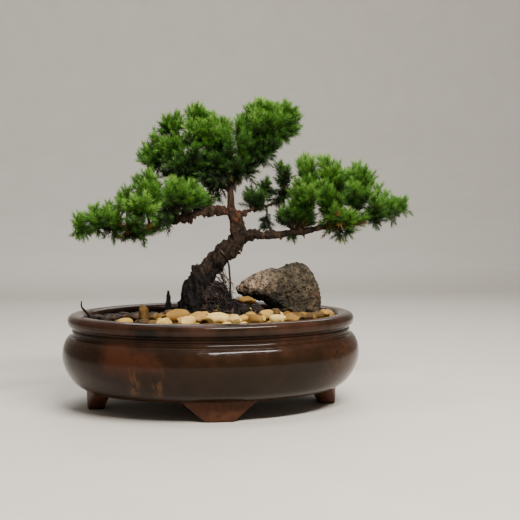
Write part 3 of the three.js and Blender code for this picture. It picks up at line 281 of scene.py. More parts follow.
def placed(x, y, z):
    """A point of the pot's own millimetres in the frame."""
    return Vector((x * MM + MIDDLE_X, y * MM + MIDDLE_Y, z * MM))


def half_depth(half_length):
    return half_length - POT_NARROWING


# Handling of pieces.


def pick(*pieces):
    bpy.ops.object.select_all(action="DESELECT")
    for piece in pieces:
        piece.select_set(True)
    bpy.context.view_layer.objects.active = pieces[0]


def edit(piece, part="FACE", action="SELECT"):
    """Edit mode with the whole piece selected, or nothing of it."""
    pick(piece)
    bpy.ops.object.mode_set(mode="EDIT")
    bpy.ops.mesh.select_mode(type=part)
    bpy.ops.mesh.select_all(action=action)


def edit_chosen(piece, part, elements, test):
    """Edit mode with only the faces or points selected that pass the test."""
    edit(piece, part, "DESELECT")
    leave_edit()
    for element in elements:
        element.select = test(element)
    bpy.ops.object.mode_set(mode="EDIT")


def leave_edit():
    bpy.ops.object.mode_set(mode="OBJECT")


def stretch(shares, about):
    bpy.ops.transform.resize(value=shares, center_override=about)


def extrude(shift):
    bpy.ops.mesh.extrude_region_move(TRANSFORM_OT_translate={"value": shift})


def settle(piece):
    """Puts the piece's place into its mesh."""
    pick(piece)
    bpy.ops.object.transform_apply(location=True, rotation=True, scale=True)


def smooth(piece, angle=180):
    pick(piece)
    bpy.ops.object.shade_smooth_by_angle(angle=math.radians(angle))


def apply(piece, kind, **settings):
    modifier = piece.modifiers.new(kind.title(), kind)
    for key, value in settings.items():
        setattr(modifier, key, value)
    pick(piece)
    bpy.ops.object.modifier_apply(modifier=modifier.name)


def fuse(name, pieces):
    pick(*pieces)
    bpy.ops.object.join()
    whole = bpy.context.object
    whole.name = name
    whole.data.name = name
    return whole


def stand_for(piece, finish, node):
    finish.on(piece)
    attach(piece, "root")
    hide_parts(node)


def copy_of(pattern, matrix, **marks):
    """A copy with a mesh of its own, placed by a matrix and marked with numbers for its finish."""
    piece = pattern.copy()
    piece.data = pattern.data.copy()
    piece.data.transform(matrix)
    bpy.context.scene.collection.objects.link(piece)
    for mark, number in marks.items():
        set_mark(piece, mark, [number] * len(piece.data.vertices))
    return piece


def set_mark(piece, mark, numbers):
    layer = piece.data.attributes.get(mark) or piece.data.attributes.new(mark, "FLOAT", "POINT")
    layer.data.foreach_set("value", numbers)


def discard(*pieces):
    for piece in pieces:
        bpy.data.objects.remove(piece, do_unlink=True)


def outward(piece):
    edit(piece)
    bpy.ops.mesh.remove_doubles(threshold=0.00001)
    bpy.ops.mesh.normals_make_consistent(inside=False)
    leave_edit()


def cloud(name, size, depth=2):
    texture = bpy.data.textures.new(name, "CLOUDS")
    texture.noise_scale = size
    texture.noise_depth = depth
    return texture


def turned_to(direction):
    """A turn that brings +Z into a direction."""
    return direction.to_track_quat("Z", "Y").to_matrix().to_4x4()


def thicken(curve, name, radius, resolution):
    """Makes a closed round piece of a line."""
    curve.data.bevel_depth = radius
    curve.data.bevel_resolution = resolution
    curve.data.use_fill_caps = True
    pick(curve)
    bpy.ops.object.convert(target="MESH")
    piece = bpy.context.object
    piece.name = name
    outward(piece)
    return piece


def rod(name, knots, radii, resolution, steps):
    """A round rod along knots, with a radius at each."""
    bpy.ops.curve.primitive_bezier_curve_add(location=(0, 0, 0))
    curve = bpy.context.object
    line = curve.data.splines[0]
    line.bezier_points.add(len(knots) - 2)
    for knot, place, radius in zip(line.bezier_points, knots, radii):
        knot.co = place
        knot.radius = radius
        knot.handle_left_type = knot.handle_right_type = "AUTO"
    curve.data.resolution_u = steps
    return thicken(curve, name, 1.0, resolution)


def smooth_outline(points, steps):
    """Points on a smooth line through an outline."""
    dense = []
    ends = [points[0], *points, points[-1]]
    for before, start, end, after in zip(ends, ends[1:], ends[2:], ends[3:]):
        for step in range(steps):
            t = step / steps
            place = []
            for a, b, c, d in zip(before, start, end, after):
                bend = (2 * a - 5 * b + 4 * c - d) * t * t + (3 * b - a - 3 * c + d) * t**3
                place.append(0.5 * (2 * b + (c - a) * t + bend))
            dense.append(tuple(place))
    dense.append(points[-1])
    return dense


# Finishes.


class Level:
    """An output of a finish's nodes that can be used in sums."""

    def __init__(self, finish, socket):
        self.finish = finish
        self.socket = socket

    def _sum(self, operation, first, second):
        return self.finish.make("ShaderNodeMath", {"operation": operation}, {0: first, 1: second})

    def __add__(self, other):
        return self._sum("ADD", self, other)

    __radd__ = __add__

    def __sub__(self, other):
        return self._sum("SUBTRACT", self, other)

    def __rsub__(self, other):
        return self._sum("SUBTRACT", other, self)

    def __mul__(self, other):
        return self._sum("MULTIPLY", self, other)

    __rmul__ = __mul__

    def __truediv__(self, other):
        return self._sum("DIVIDE", self, other)

    def __lt__(self, other):
        return self._sum("LESS_THAN", self, other)

    def size(self):
        return self._sum("ABSOLUTE", self, 0.0)

    def ease(self, low, high):
        """0 below low, 1 above high and smooth between."""
        limits = {0: self, 1: low, 2: high, 3: 0.0, 4: 1.0}
        return self.finish.make("ShaderNodeMapRange", {"interpolation_type": "SMOOTHSTEP"}, limits)


class Finish:
    """A material put together node by node."""

    def __init__(self, name, **constants):
        self.material = bpy.data.materials.new(name)
        self.material.use_nodes = True
        self.nodes = self.material.node_tree.nodes
        self.shader = self.nodes["Principled BSDF"]
        for socket, value in constants.items():
            self.shader.inputs[socket.replace("_", " ")].default_value = value
        self.where = self.make("ShaderNodeTexCoord", {}, {}, "Object")

    def make(self, kind, settings, inputs, output=0):
        node = self.nodes.new(kind)
        for key, value in settings.items():
            if key == "stops":
                while len(node.color_ramp.elements) < len(value):
                    node.color_ramp.elements.new(1.0)
                for stop, (position, colour) in zip(node.color_ramp.elements, value):
                    stop.position = position
                    stop.color = (*colour, 1.0)
            else:
                setattr(node, key, value)
        for key, value in inputs.items():
            if isinstance(value, Level):
                self.material.node_tree.links.new(value.socket, node.inputs[key])
            else:
                node.inputs[key].default_value = value
        return Level(self, node.outputs[output])

    def feed(self, socket, level):
        self.material.node_tree.links.new(level.socket, self.shader.inputs[socket])

    def noise(self, size_mm, detail=3.0, roughness=0.55, where=None):
        place = {"Vector": where or self.where, "Scale": 1000.0 / size_mm}
        return self.make("ShaderNodeTexNoise", {}, {**place, "Detail": detail, "Roughness": roughness})

    def cells(self, size_mm):
        return self.make("ShaderNodeTexVoronoi", {}, {"Vector": self.where, "Scale": 1000.0 / size_mm})

    def stretched(self, x, y, z):
        return self.make("ShaderNodeMapping", {}, {"Vector": self.where, "Scale": (x, y, z)})

    def axes(self):
        """The pot's own X, Y and Z in millimetres."""
        shift = (-MIDDLE_X * 1000, -MIDDLE_Y * 1000, 0)
        inputs = {"Vector": self.where, "Location": shift, "Scale": (1000, 1000, 1000)}
        centred = self.make("ShaderNodeMapping", {}, inputs)
        return [self.make("ShaderNodeSeparateXYZ", {}, {0: centred}, axis) for axis in (0, 1, 2)]

    def mark(self, name):
        return self.make("ShaderNodeAttribute", {"attribute_name": name}, {}, "Fac")

    def ramp(self, level, stops):
        return self.make("ShaderNodeValToRGB", {"stops": stops}, {0: level})

    def blend(self, share, colour, other):
        first, second = [c if isinstance(c, Level) else (*c, 1.0) for c in (colour, other)]
        return self.make("ShaderNodeMix", {"data_type": "RGBA"}, {0: share, 6: first, 7: second}, 2)

    def relief(self, height, depth_mm, strength=1.0):
        inputs = {"Height": height, "Distance": depth_mm * MM, "Strength": strength}
        self.feed("Normal", self.make("ShaderNodeBump", {}, inputs))

    def on(self, *pieces):
        for piece in pieces:
            piece.data.materials.clear()
            piece.data.materials.append(self.material)


def glaze_finish():
    glaze = Finish("brown_glaze", Specular_IOR_Level=0.1, Coat_Roughness=0.04, Coat_IOR=1.3)
    x, y, z = glaze.axes()
    drift = glaze.noise(26, 4, 0.6)
    fine = glaze.noise(4, 5, 0.65)
    browns = [
        (0.3, (0.01, 0.0055, 0.003)), (0.5, (0.02, 0.0095, 0.0048)),
        (0.62, (0.034, 0.0135, 0.0065)), (0.75, (0.05, 0.018, 0.009)),
    ]
    colour = glaze.ramp(drift * 0.75 + fine * 0.25, browns)
    red_left = (1 - ((x + 60) / 30).size().ease(0.3, 1.2)) * (1 - ((z - 41) / 14).size().ease(0.2, 1.1))
    colour = glaze.blend(red_left * drift.ease(0.35, 0.6) * 0.85, colour, (0.05, 0.0165, 0.0085))
    olive = (x + 15).ease(0, 40) * (1 - (x - 60).ease(0, 25)) * (1 - (z - 34).ease(0, 14))
    colour = glaze.blend(olive * 0.7, colour, (0.0125, 0.0085, 0.004))
    flank = (x - 62).ease(0, 20) * (1 - (z - 44).ease(0, 6))
    colour = glaze.blend(flank * 0.7 * fine.ease(0.3, 0.6), colour, (0.045, 0.017, 0.007))
    wobble = (glaze.noise(7, 3) - 0.5) * 9
    streak = glaze.noise(3.2, 4, 0.6, glaze.stretched(1, 1, 0.12))
    arch = ((x + 46.5 + wobble * 0.5) / 8).size()
    drip = arch.ease(0.3, 0.8) * (1 - arch.ease(0.95, 1.5))
    drip = drip * (z - 15).ease(0, 6) * (1 - (z - 32 + wobble).ease(0, 8))
    drip = drip * (1 - (y + 20).ease(0, 10)) * streak.ease(0.42, 0.58)
    colour = glaze.blend(drip * 0.75, colour, (0.1, 0.045, 0.013))
    rim = (z - 55).ease(0, 2)
    colour = glaze.blend(rim * drift.ease(0.35, 0.6) * 0.75, colour, (0.042, 0.018, 0.0105))
    run = (1 - ((x + 46) / 8).size().ease(0.5, 1.1)) * (1 - y.ease(-20, 0))
    run = run * (1 - ((z - 57 + wobble * 0.3) / 5).size().ease(0.4, 1.0))
    colour = glaze.blend(run * 0.9, colour, (0.004, 0.004, 0.0035))
    # Painted shade: the pot's inner wall above the bed is darkened as if shadowed by the rim.
    inside = (1 - ((x * x) / 7600 + (y * y) / 4200).ease(0.96, 0.99)) * (z - 20).ease(0, 2)
    colour = glaze.blend(inside * 0.9, colour, (0.006, 0.0035, 0.002))
    foot = 1 - (z - 11).ease(0, 4)
    clay = glaze.ramp(fine, [(0.35, (0.05, 0.019, 0.0095)), (0.65, (0.085, 0.034, 0.018))])
    colour = glaze.blend(foot * 0.9, colour, clay)
    glaze.feed("Base Color", colour)
    glaze.feed("Roughness", 0.13 + 0.14 * fine.ease(0.4, 0.75) + 0.3 * foot)
    glaze.feed("Coat Weight", 0.26 * (1 - foot * 0.85) * (1 - inside))
    glaze.relief(glaze.noise(12, 3, 0.5) + 0.08 * fine, 0.5, 0.75)
    return glaze


def bark_finish():
    bark = Finish("flaking_bark", Roughness=0.9, Specular_IOR_Level=0.25)
    x, y, z = bark.axes()
    grain = bark.noise(5, 8, 0.72, bark.stretched(1, 1, 0.4))
    flakes = bark.noise(1.8, 6, 0.7, bark.stretched(1, 1, 0.5))
    mixed = grain * 0.6 + flakes * 0.4
    browns = [
        (0.38, (0.002, 0.0012, 0.0007)), (0.48, (0.013, 0.007, 0.0033)),
        (0.56, (0.037, 0.0205, 0.0105)), (0.68, (0.115, 0.078, 0.045)),
    ]
    blacks = [(0.4, (0.0007, 0.0006, 0.0005)), (0.53, (0.0037, 0.0032, 0.0027)), (0.7, (0.028, 0.0245, 0.0195))]
    low = 1 - (z - 84).ease(0, 22)
    colour = bark.blend(low * 0.92, bark.ramp(mixed, browns), bark.ramp(mixed, blacks))
    orange = (1 - ((z - 131) / 10).size().ease(0.3, 1.2)) * (1 - ((x - 11) / 13).size().ease(0.3, 1.2))
    colour = bark.blend(orange * mixed.ease(0.45, 0.58) * 0.6, colour, (0.16, 0.05, 0.02))
    scaly = (z - 112).ease(0, 30) * bark.noise(8, 2).ease(0.45, 0.6)
    colour = bark.blend(scaly * 0.35, colour, (0.07, 0.03, 0.014))
    bark.feed("Base Color", colour)
    bark.relief(grain + 0.7 * flakes, 1.6, 1.0)
    return bark


def needle_finish():
    green = Finish("juniper_needles", Roughness=0.5, Specular_IOR_Level=0.3)
    youth = green.mark("youth")
    tone = green.mark("tone")
    drift = green.noise(14, 2)
    # The tone mark carries each shoot's painted light and shade.
    light = youth * 0.48 + tone * 0.55 + (drift - 0.5) * 0.35 - 0.03
    greens = [
        (0.05, (0.003, 0.009, 0.002)), (0.32, (0.013, 0.042, 0.005)), (0.6, (0.045, 0.14, 0.011)),
        (0.85, (0.11, 0.265, 0.026)), (1.0, (0.2, 0.37, 0.06)),
    ]
    colour = green.ramp(light, greens)
    straw = green.ramp(drift, [(0.35, (0.06, 0.032, 0.008)), (0.65, (0.24, 0.14, 0.025))])
    colour = green.blend(tone < DEAD_TONE / 2, colour, straw)
    colour = green.blend(youth < STEM_YOUTH / 2, colour, (0.035, 0.022, 0.01))
    green.feed("Base Color", colour)
    return green


def pebble_finish():
    stone = Finish("river_pebbles", Specular_IOR_Level=0.14)
    tone = stone.mark("tone")
    veins = stone.noise(3.5, 5, 0.65)
    blotch = stone.noise(7, 2)
    ochres = [
        (0.05, (0.012, 0.0075, 0.0045)), (0.2, (0.04, 0.02, 0.008)), (0.36, (0.09, 0.05, 0.012)),
        (0.55, (0.25, 0.135, 0.03)), (0.72, (0.45, 0.275, 0.07)), (0.87, (0.62, 0.44, 0.15)),
        (1.0, (0.78, 0.62, 0.3)),
    ]
    colour = stone.ramp(tone * 0.91 + (blotch - 0.5) * 0.22, ochres)
    colour = stone.blend(veins.ease(0.52, 0.72) * 0.5, colour, (0.16, 0.085, 0.035))
    # Painted shade: pebbles lying low in the bed, in the gaps under the top ones, are darkened.
    low = 1 - (stone.make("ShaderNodeSeparateXYZ", {}, {0: stone.where}, 2) * 1000 - 57).ease(0, 6)
    colour = stone.blend(low * 0.6, colour, (0.02, 0.012, 0.007))
    stone.feed("Base Color", colour)
    stone.feed("Roughness", 0.45 + 0.35 * veins)
    stone.relief(veins, 0.25, 0.5)
    return stone


def rock_finish():
    rock = Finish("rough_rock", Roughness=0.9)
    x, y, z = rock.axes()
    grain = rock.noise(4.5, 8, 0.78)
    pits = rock.cells(2.2)
    patches = rock.noise(16, 3)
    browns = [
        (0.36, (0.008, 0.005, 0.002)), (0.47, (0.034, 0.023, 0.010)),
        (0.56, (0.085, 0.062, 0.031)), (0.68, (0.19, 0.155, 0.105)),
    ]
    colour = rock.ramp(grain, browns)
    nose = (1 - (x - 32).ease(0, 16)) * grain.ease(0.34, 0.5) * (z - 76).ease(0, 5)
    pale = rock.ramp(grain, [(0.38, (0.1, 0.055, 0.032)), (0.58, (0.4, 0.29, 0.2))])
    colour = rock.blend(nose * 0.85, colour, pale)
    olive = patches.ease(0.5, 0.62) * (x - 44).ease(0, 10)
    colour = rock.blend(olive * 0.4, colour, (0.032, 0.03, 0.009))
    rust = rock.noise(9, 2).ease(0.56, 0.68) * (1 - (z - 80).ease(0, 12))
    colour = rock.blend(rust * 0.5, colour, (0.12, 0.055, 0.018))
    shade = (1 - (x - 42).ease(0, 14)) * (1 - (z - 73).ease(0, 6))
    colour = rock.blend(shade * 0.9, colour, (0.006, 0.004, 0.003))
    colour = rock.blend(pits.ease(0.0, 0.35), (0.006, 0.004, 0.002), colour)
    rock.feed("Base Color", colour)
    rock.relief(grain + 0.6 * pits.ease(0.0, 0.5), 2.2, 1.0)
    return rock


def soil_finish():
    soil = Finish("root_bound_soil", Roughness=0.95, Specular_IOR_Level=0.2)
    crumbs = soil.cells(1.7)
    grain = soil.noise(2.2, 6, 0.7)
    fibres = soil.noise(1.6, 3, 0.6, soil.stretched(1, 1, 0.45))
    blacks = [(0.38, (0.001, 0.0007, 0.0006)), (0.55, (0.006, 0.0034, 0.0026)), (0.7, (0.028, 0.0165, 0.0115))]
    colour = soil.ramp(grain, blacks)
    colour = soil.blend(fibres.ease(0.6, 0.68) * 0.5, colour, (0.042, 0.023, 0.016))
    soil.feed("Base Color", colour)
    soil.relief(grain + 0.8 * crumbs + 0.4 * fibres, 1.4, 1.0)
    return soil


def root_finish():
    roots = Finish("feeder_roots", Roughness=0.8)
    grain = roots.noise(5, 3)
    browns = [(0.34, (0.004, 0.0024, 0.0018)), (0.5, (0.021, 0.0115, 0.008)), (0.66, (0.095, 0.058, 0.041))]
    roots.feed("Base Color", roots.ramp(grain, browns))
    roots.relief(roots.noise(0.8, 2), 0.1, 0.6)
    return roots


def grained_finish(name, size_mm, detail, stops, depth_mm=0, strength=0, **constants):
    """A finish of two tones that drift into each other."""
    plain = Finish(name, **constants)
    grain = plain.noise(size_mm, detail)
    plain.feed("Base Color", plain.ramp(grain, stops))
    if depth_mm:
        plain.relief(grain, depth_mm, strength)
    return plain


# Pot.


def turn_pot():
    outline = smooth_outline(POT_OUTLINE, 3)
    first_length, first_z = outline[0]
    middle = placed(0, 0, first_z)
    bpy.ops.mesh.primitive_circle_add(
        vertices=POT_SIDES, radius=first_length * MM, fill_type="NGON", location=middle
    )
    pot = bpy.context.object
    edit(pot)
    stretch((1, half_depth(first_length) / first_length, 1), middle)
    for (length, z), (next_length, next_z) in zip(outline, outline[1:]):
        extrude((0, 0, (next_z - z) * MM))
        middle = placed(0, 0, next_z)
        wider = (next_length / length, half_depth(next_length) / half_depth(length), 1)
        stretch(wider, middle)
    leave_edit()
    settle(pot)
    outward(pot)
    return pot


def foot_low(s):
    """Height of a foot's lower edge at a distance from its middle."""
    slope = FOOT_CLIMB / (FOOT_HALF_TOP - FOOT_HALF_BOTTOM)
    beyond = abs(s) - FOOT_HALF_BOTTOM
    if beyond <= -FOOT_BEND:
        return 0.0
    if beyond < FOOT_BEND:
        return slope * (beyond + FOOT_BEND) ** 2 / (4 * FOOT_BEND)
    return slope * beyond


def make_foot(name, angle):
    """A bracket foot: a bevelled section drawn along the oval and made lower towards both ends."""
    depth = half_depth(FOOT_OVAL)
    speed = math.hypot(FOOT_OVAL * math.sin(angle), depth * math.cos(angle))
    along = [FOOT_HALF_TOP * (2 * i / FOOT_STEPS - 1) for i in range(FOOT_STEPS + 1)]

    def spot(s):
        turn = angle + s / speed
        return FOOT_OVAL * math.cos(turn), depth * math.sin(turn)

    end_on = abs(math.cos(angle)) > 0.5
    out = Vector((round(math.cos(angle)), round(math.sin(angle)), 0))
    start = spot(along[0])
    low = foot_low(along[0])
    tall = (FOOT_TOP - low) * MM
    centre = placed(start[0], start[1], (FOOT_TOP + low) / 2) - out * (FOOT_THICKNESS / 2) * MM
    bpy.ops.mesh.primitive_plane_add(
        size=1, location=centre, rotation=(math.pi / 2, 0, 0) if end_on else (0, math.pi / 2, 0)
    )
    foot = bpy.context.object
    foot.scale = (FOOT_THICKNESS * MM, tall, 1) if end_on else (tall, FOOT_THICKNESS * MM, 1)
    settle(foot)
    bottom = min(vertex.co.z for vertex in foot.data.vertices)
    edit_chosen(foot, "VERT", foot.data.vertices, lambda vertex: abs(vertex.co.z - bottom) < 1e-6)
    bpy.ops.mesh.bevel(offset=tall * FOOT_CORNER, segments=4, affect="VERTICES")
    bpy.ops.mesh.select_all(action="SELECT")
    for s, next_s in zip(along, along[1:]):
        here, there = spot(s), spot(next_s)
        shift = ((there[0] - here[0]) * MM, (there[1] - here[1]) * MM, 0)
        extrude(shift)
        taller = (FOOT_TOP - foot_low(next_s)) / (FOOT_TOP - foot_low(s))
        top = placed(there[0], there[1], FOOT_TOP)
        stretch((1, 1, taller), top)
    leave_edit()
    foot.name = name
    outward(foot)
    return foot


def make_pot(finish):
    pot = turn_pot()
    feet = [make_foot("foot_%d" % quarter, quarter * math.pi / 2) for quarter in range(4)]
    for foot in feet:
        apply(pot, "BOOLEAN", operation="UNION", solver="EXACT", object=foot)
    for x in DRAINS:
        bpy.ops.mesh.primitive_cylinder_add(
            vertices=48, radius=DRAIN_RADIUS * MM, depth=DRAIN_CUT * MM, location=placed(x, 0, DRAIN_MIDDLE)
        )
        drain = bpy.context.object
        apply(pot, "BOOLEAN", operation="DIFFERENCE", solver="EXACT", object=drain)
        feet.append(drain)
    discard(*feet)
    pot.name = "glazed_pot"
    smooth(pot, 50)
    stand_for(pot, finish, "pot")


# Earth, rock and wood.


def carved(node, name, grain_mm, rounds):
    """A copy of a solid with an even, softened skin that takes fine relief."""
    piece = copy_of(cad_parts[node], Matrix.Identity(4))
    piece.parent = None
    piece.matrix_world = Matrix.Identity(4)
    piece.name = name
    outward(piece)
    apply(piece, "REMESH", mode="VOXEL", voxel_size=grain_mm * MM)
    apply(piece, "SMOOTH", factor=0.5, iterations=rounds)
    return piece


def roughen(piece, texture, depth_mm, middle=0.5, group=""):
    settings = {"texture": texture, "texture_coords": "LOCAL", "mid_level": middle, "vertex_group": group}
    apply(piece, "DISPLACE", strength=depth_mm * MM, **settings)


def weigh(piece, name, weight):
    """A group of all the piece's points, each with a weight from its place in the pot's millimetres."""
    group = piece.vertex_groups.new(name=name)
    for vertex in piece.data.vertices:
        group.add([vertex.index], weight((vertex.co.x - MIDDLE_X) / MM, vertex.co.z / MM), "REPLACE")


def within(share):
    """The share, kept from 0 to 1."""
    return min(max(share, 0.0), 1.0)


def squeeze(piece, share):
    """Makes a piece lower or taller about the floor."""
    edit(piece)
    stretch((1, 1, share), (0, 0, 0))
    leave_edit()


def make_trunk(finish):
    trunk = carved("trunk", "juniper_wood", 0.55, 3)
    weigh(trunk, "stout", lambda x, z: 0.16 + 0.84 * within((46 - abs(x)) / 26) * within((146 - z) / 20))
    weigh(trunk, "elbow", lambda x, z: within(1.6 * (1 - math.hypot((x - 9) / 20, (z - 103) / 15))))
    for axis, shift in (("X", 0.5), ("Z", -0.3)):
        apply(trunk, "DISPLACE", direction=axis, strength=shift * MM, mid_level=0, vertex_group="elbow")
    squeeze(trunk, 0.5)
    roughen(trunk, cloud("bark_lumps", 0.0075), 3.8, 0.46, "stout")
    roughen(trunk, cloud("bark_flakes", 0.0026, 4), 4.4, 0.5, "stout")
    squeeze(trunk, 2.0)
    smooth(trunk)
    stand_for(trunk, finish, "trunk")


def make_soil(finish):
    soil = carved("soil", "root_mound", 1.3, 2)
    weigh(soil, "heap", lambda x, z: within((z - 58) / 4))
    roughen(soil, cloud("soil_lumps", 0.006), 6.0, 0.45, "heap")
    roughen(soil, cloud("soil_crumbs", 0.0018, 3), 3.4, 0.5, "heap")
    smooth(soil)
    stand_for(soil, finish, "soil")
    return soil


def make_rock(finish):
    rock = carved("rock", "feature_rock", 0.7, 2)
    roughen(rock, cloud("rock_swells", 0.014), 2.0, 0.5)
    roughen(rock, cloud("rock_knobs", 0.005, 4), 4.0, 0.5)
    roughen(rock, cloud("rock_pits", 0.0022, 3), 2.0, 0.52)
    smooth(rock)
    stand_for(rock, finish, "rock")


def hairs(name, paths, thickness):
    """Many fine strands as one piece, each along a list of places and thinner towards its end."""
    bpy.ops.curve.primitive_bezier_curve_add(location=(0, 0, 0))
    curve = bpy.context.object
    curve.data.splines.clear()
    for path in paths:
        line = curve.data.splines.new("POLY")
        line.points.add(len(path) - 1)
        for i, (point, place) in enumerate(zip(line.points, path)):
            point.co = (*place, 1)
            point.radius = 1 - 0.6 * i / (len(path) - 1)
    return thicken(curve, name, thickness, 0)


def make_roots(mound, finish):
    """Feeder roots that creep over the mound, hang out of it and bridge it to the stem."""
    rng = random.Random(17)

    def drift(amount):
        return Vector([rng.gauss(0, amount) for _ in range(3)])

    paths = []
    for _ in range(CREEPING_ROOTS):
        turn = rng.uniform(0, math.tau)
        high = rng.uniform(58, 86)
        x = MOUND_MIDDLE[0] + MOUND_REACH[0] * math.cos(turn)
        spot = placed(x, MOUND_MIDDLE[1] + MOUND_REACH[1] * math.sin(turn), high)
        heading = (drift(1.0) + Vector((0, 0, -0.7))).normalized()
        path = []
        steps = rng.randint(5, 8)
        for i in range(steps):
            _, place, normal, _ = mound.closest_point_on_mesh(spot)
            lift = -0.5 if i in (0, steps - 1) else rng.uniform(0.2, 2.0)
            path.append(place + normal * lift * MM)
            spot = place + heading * 2.0 * MM
            heading = (heading + drift(0.45)).normalized()
        if path[0].z > MOUND_FOOT * MM:
            paths.append(path)
    for _ in range(HANGING_ROOTS):
        high = rng.uniform(84, 96)
        stem_x = 0.86 * (high - 80) - 9
        start = placed(stem_x + rng.uniform(2, 5), rng.uniform(-5, 4), high - rng.uniform(1, 3))
        end = placed(rng.uniform(3, 17), rng.uniform(-9, 6), rng.uniform(66, 80))
        sag = (start + end) / 2 + Vector((rng.uniform(1, 4), rng.uniform(-2, 2), rng.uniform(-3, 1))) * MM
        paths.append([start, (start + sag) / 2 + drift(0.6) * MM, sag, (sag + end) / 2 + drift(0.6) * MM, end])
    roots = hairs("feeder_roots", paths, ROOT_RADIUS * MM)
    smooth(roots)
    finish.on(roots)
    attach(roots, "root")


def make_wire(finish):
    knots = [placed(*knot) for knot in WIRE_KNOTS]
    rise = rod("wire_rise", knots, [WIRE_RADIUS * MM] * len(knots), 3, 6)
    bpy.ops.mesh.primitive_torus_add(
        location=placed(*WIRE_LOOP_MIDDLE),
        major_radius=WIRE_LOOP_RADIUS * MM,
        minor_radius=WIRE_RADIUS * MM,
        major_segments=48,
        minor_segments=12,
    )
    loop = bpy.context.object
    loop.rotation_euler = Vector(WIRE_LOOP_AXIS).to_track_quat("Z", "Y").to_euler()
    settle(loop)
    wire = fuse("tie_wire_coil", [rise, loop])
    smooth(wire, 60)
    stand_for(wire, finish, "tie_wire")


def make_litter(finish):
    twig = rod("dead_twig", [placed(*knot) for knot in TWIG_KNOTS], [radius * MM for radius in TWIG_RADII], 2, 5)
    roughen(twig, cloud("twig_grain", 0.001), 0.35, 0.5)
    smooth(twig)
    chip = carved("bark_chip", "bark_flake", 0.35, 2)
    roughen(chip, cloud("chip_grain", 0.002, 3), 1.0, 0.5)
    smooth(chip)
    stand_for(twig, finish, "rim_twig")
    stand_for(chip, finish, "bark_chip")


# Pebbles.


def chip_flats(pebble, rng, cuts):
    """Cuts flats into a stone, as on one that is only half worn round."""
    for _ in range(cuts):
        way = Vector((rng.gauss(0, 1), rng.gauss(0, 1), rng.gauss(0, 0.7))).normalized()
        reach = max(vertex.co.dot(way) for vertex in pebble.data.vertices)
        edit(pebble)
        flat = way * reach * rng.uniform(0.68, 0.84)
        bpy.ops.mesh.bisect(plane_co=flat, plane_no=way, use_fill=True, clear_outer=True)
        leave_edit()
    apply(pebble, "BEVEL", width=0.1, segments=2, limit_method="ANGLE", angle_limit=math.radians(28))


def model_pebble(number, rounds, cuts=0):
    """A worn stone one unit in half length, longer than wide and a little uneven."""
    bpy.ops.mesh.primitive_ico_sphere_add(subdivisions=rounds, radius=1, location=(0, 0, 0))
    pebble = bpy.context.object
    edit(pebble)
    longer = 1.4 if cuts else 1.15
    bpy.ops.transform.resize(value=(longer, 0.72 + 0.06 * (number % 3), 0.5 + 0.06 * (number % 4)))
    leave_edit()
    roughen(pebble, cloud("pebble_%d" % number, 0.9 + 0.1 * number, 1), 0.76 / MM, 0.5)
    if cuts:
        chip_flats(pebble, random.Random(40 + number), cuts)
    smooth(pebble, 50 if cuts else 180)
    return pebble


def pebble_at(kinds, rng, x, y, top, width, tone):
    half = width / 2
    turn = Matrix.Rotation(rng.uniform(0, math.tau), 4, "Z") @ Matrix.Rotation(rng.uniform(-0.5, 0.5), 4, "X")
    centre = placed(x, y, top - half * 0.68)
    return copy_of(rng.choice(kinds), Matrix.Translation(centre) @ turn @ Matrix.Scale(half * MM, 4), tone=tone)


def single_pebble(name, kind, centre, tilt, half, tone):
    matrix = Matrix.Translation(centre) @ Matrix.Rotation(tilt, 4, "Y") @ Matrix.Scale(half * MM, 4)
    pebble = copy_of(kind, matrix, tone=tone)
    pebble.name = name
    return pebble


def is_open_bed(x, y):
    """Whether a point of the bed is clear of the mound and the rock."""
    if any(math.hypot((x - cx) / rx, (y - cy) / ry) < 1.0 for (cx, cy), (rx, ry) in MOUND_LUMPS):
        return False
    left, right, middle, half = ROCK_BED
    return not (left < x < right and abs(y - middle) < half)


def bed_layer(rng, spacing, rise, taken, apart):
    """Pebbles in ovals round the bed: brown and darker towards the back and left, where part of the darkening is
    painted shade, and pale in front.
    """
    stones = []
    for row in range(BED_ROWS):
        length = BED_HALF_LENGTH - 0.5 - row * spacing * 0.88
        depth = half_depth(length)
        if depth < 2:
            break
        around = math.pi * (3 * (length + depth) - math.sqrt((3 * length + depth) * (length + 3 * depth)))
        count = int(around / spacing)
        for i in range(count):
            turn = math.tau * (i + 0.5 * (row % 2)) / count
            x = length * math.cos(turn) + rng.uniform(-1.3, 1.3)
            y = depth * math.sin(turn) + rng.uniform(-1.3, 1.3)
            if not is_open_bed(x, y) or any(math.hypot(x - tx, y - ty) < apart for tx, ty in taken):
                continue
            front, left = -y / BED_HALF_DEPTH, -x / BED_HALF_LENGTH
            # The tone paints shade: stones towards the back and left are made darker as if shadowed by the rim.
            pale = 0.4 + 0.3 * max(0.0, front) - 0.5 * max(0.0, left)
            pale += 0.1 * max(0.0, -left) - 0.15 * max(0.0, -front)
            tone = min(max(rng.gauss(pale, 0.17), 0.04), 1.0)
            top = SOIL_LEVEL - SOIL_TILT * y + rise + rng.uniform(-1.0, 0.6) - 0.03 * max(0.0, y + 10)
            stones.append((x, y, top, rng.uniform(*BED_WIDTHS), tone))
    return stones


def fill_between(rng, row):
    """Small stones in the gaps of a row, a little lower and behind."""
    stones = []
    for (x, y, top, _, tone), (next_x, next_y, next_top, _, next_tone) in zip(row, row[1:]):
        place = ((x + next_x) / 2, (y + next_y) / 2 + rng.uniform(-1, 3.5))
        width = rng.uniform(*FILLER_WIDTHS)
        lower = min(top, next_top) - rng.uniform(0, 1.4)
        stones.append((*place, lower, width, (tone + next_tone) / 2 + rng.uniform(-0.2, 0.12)))
    return stones


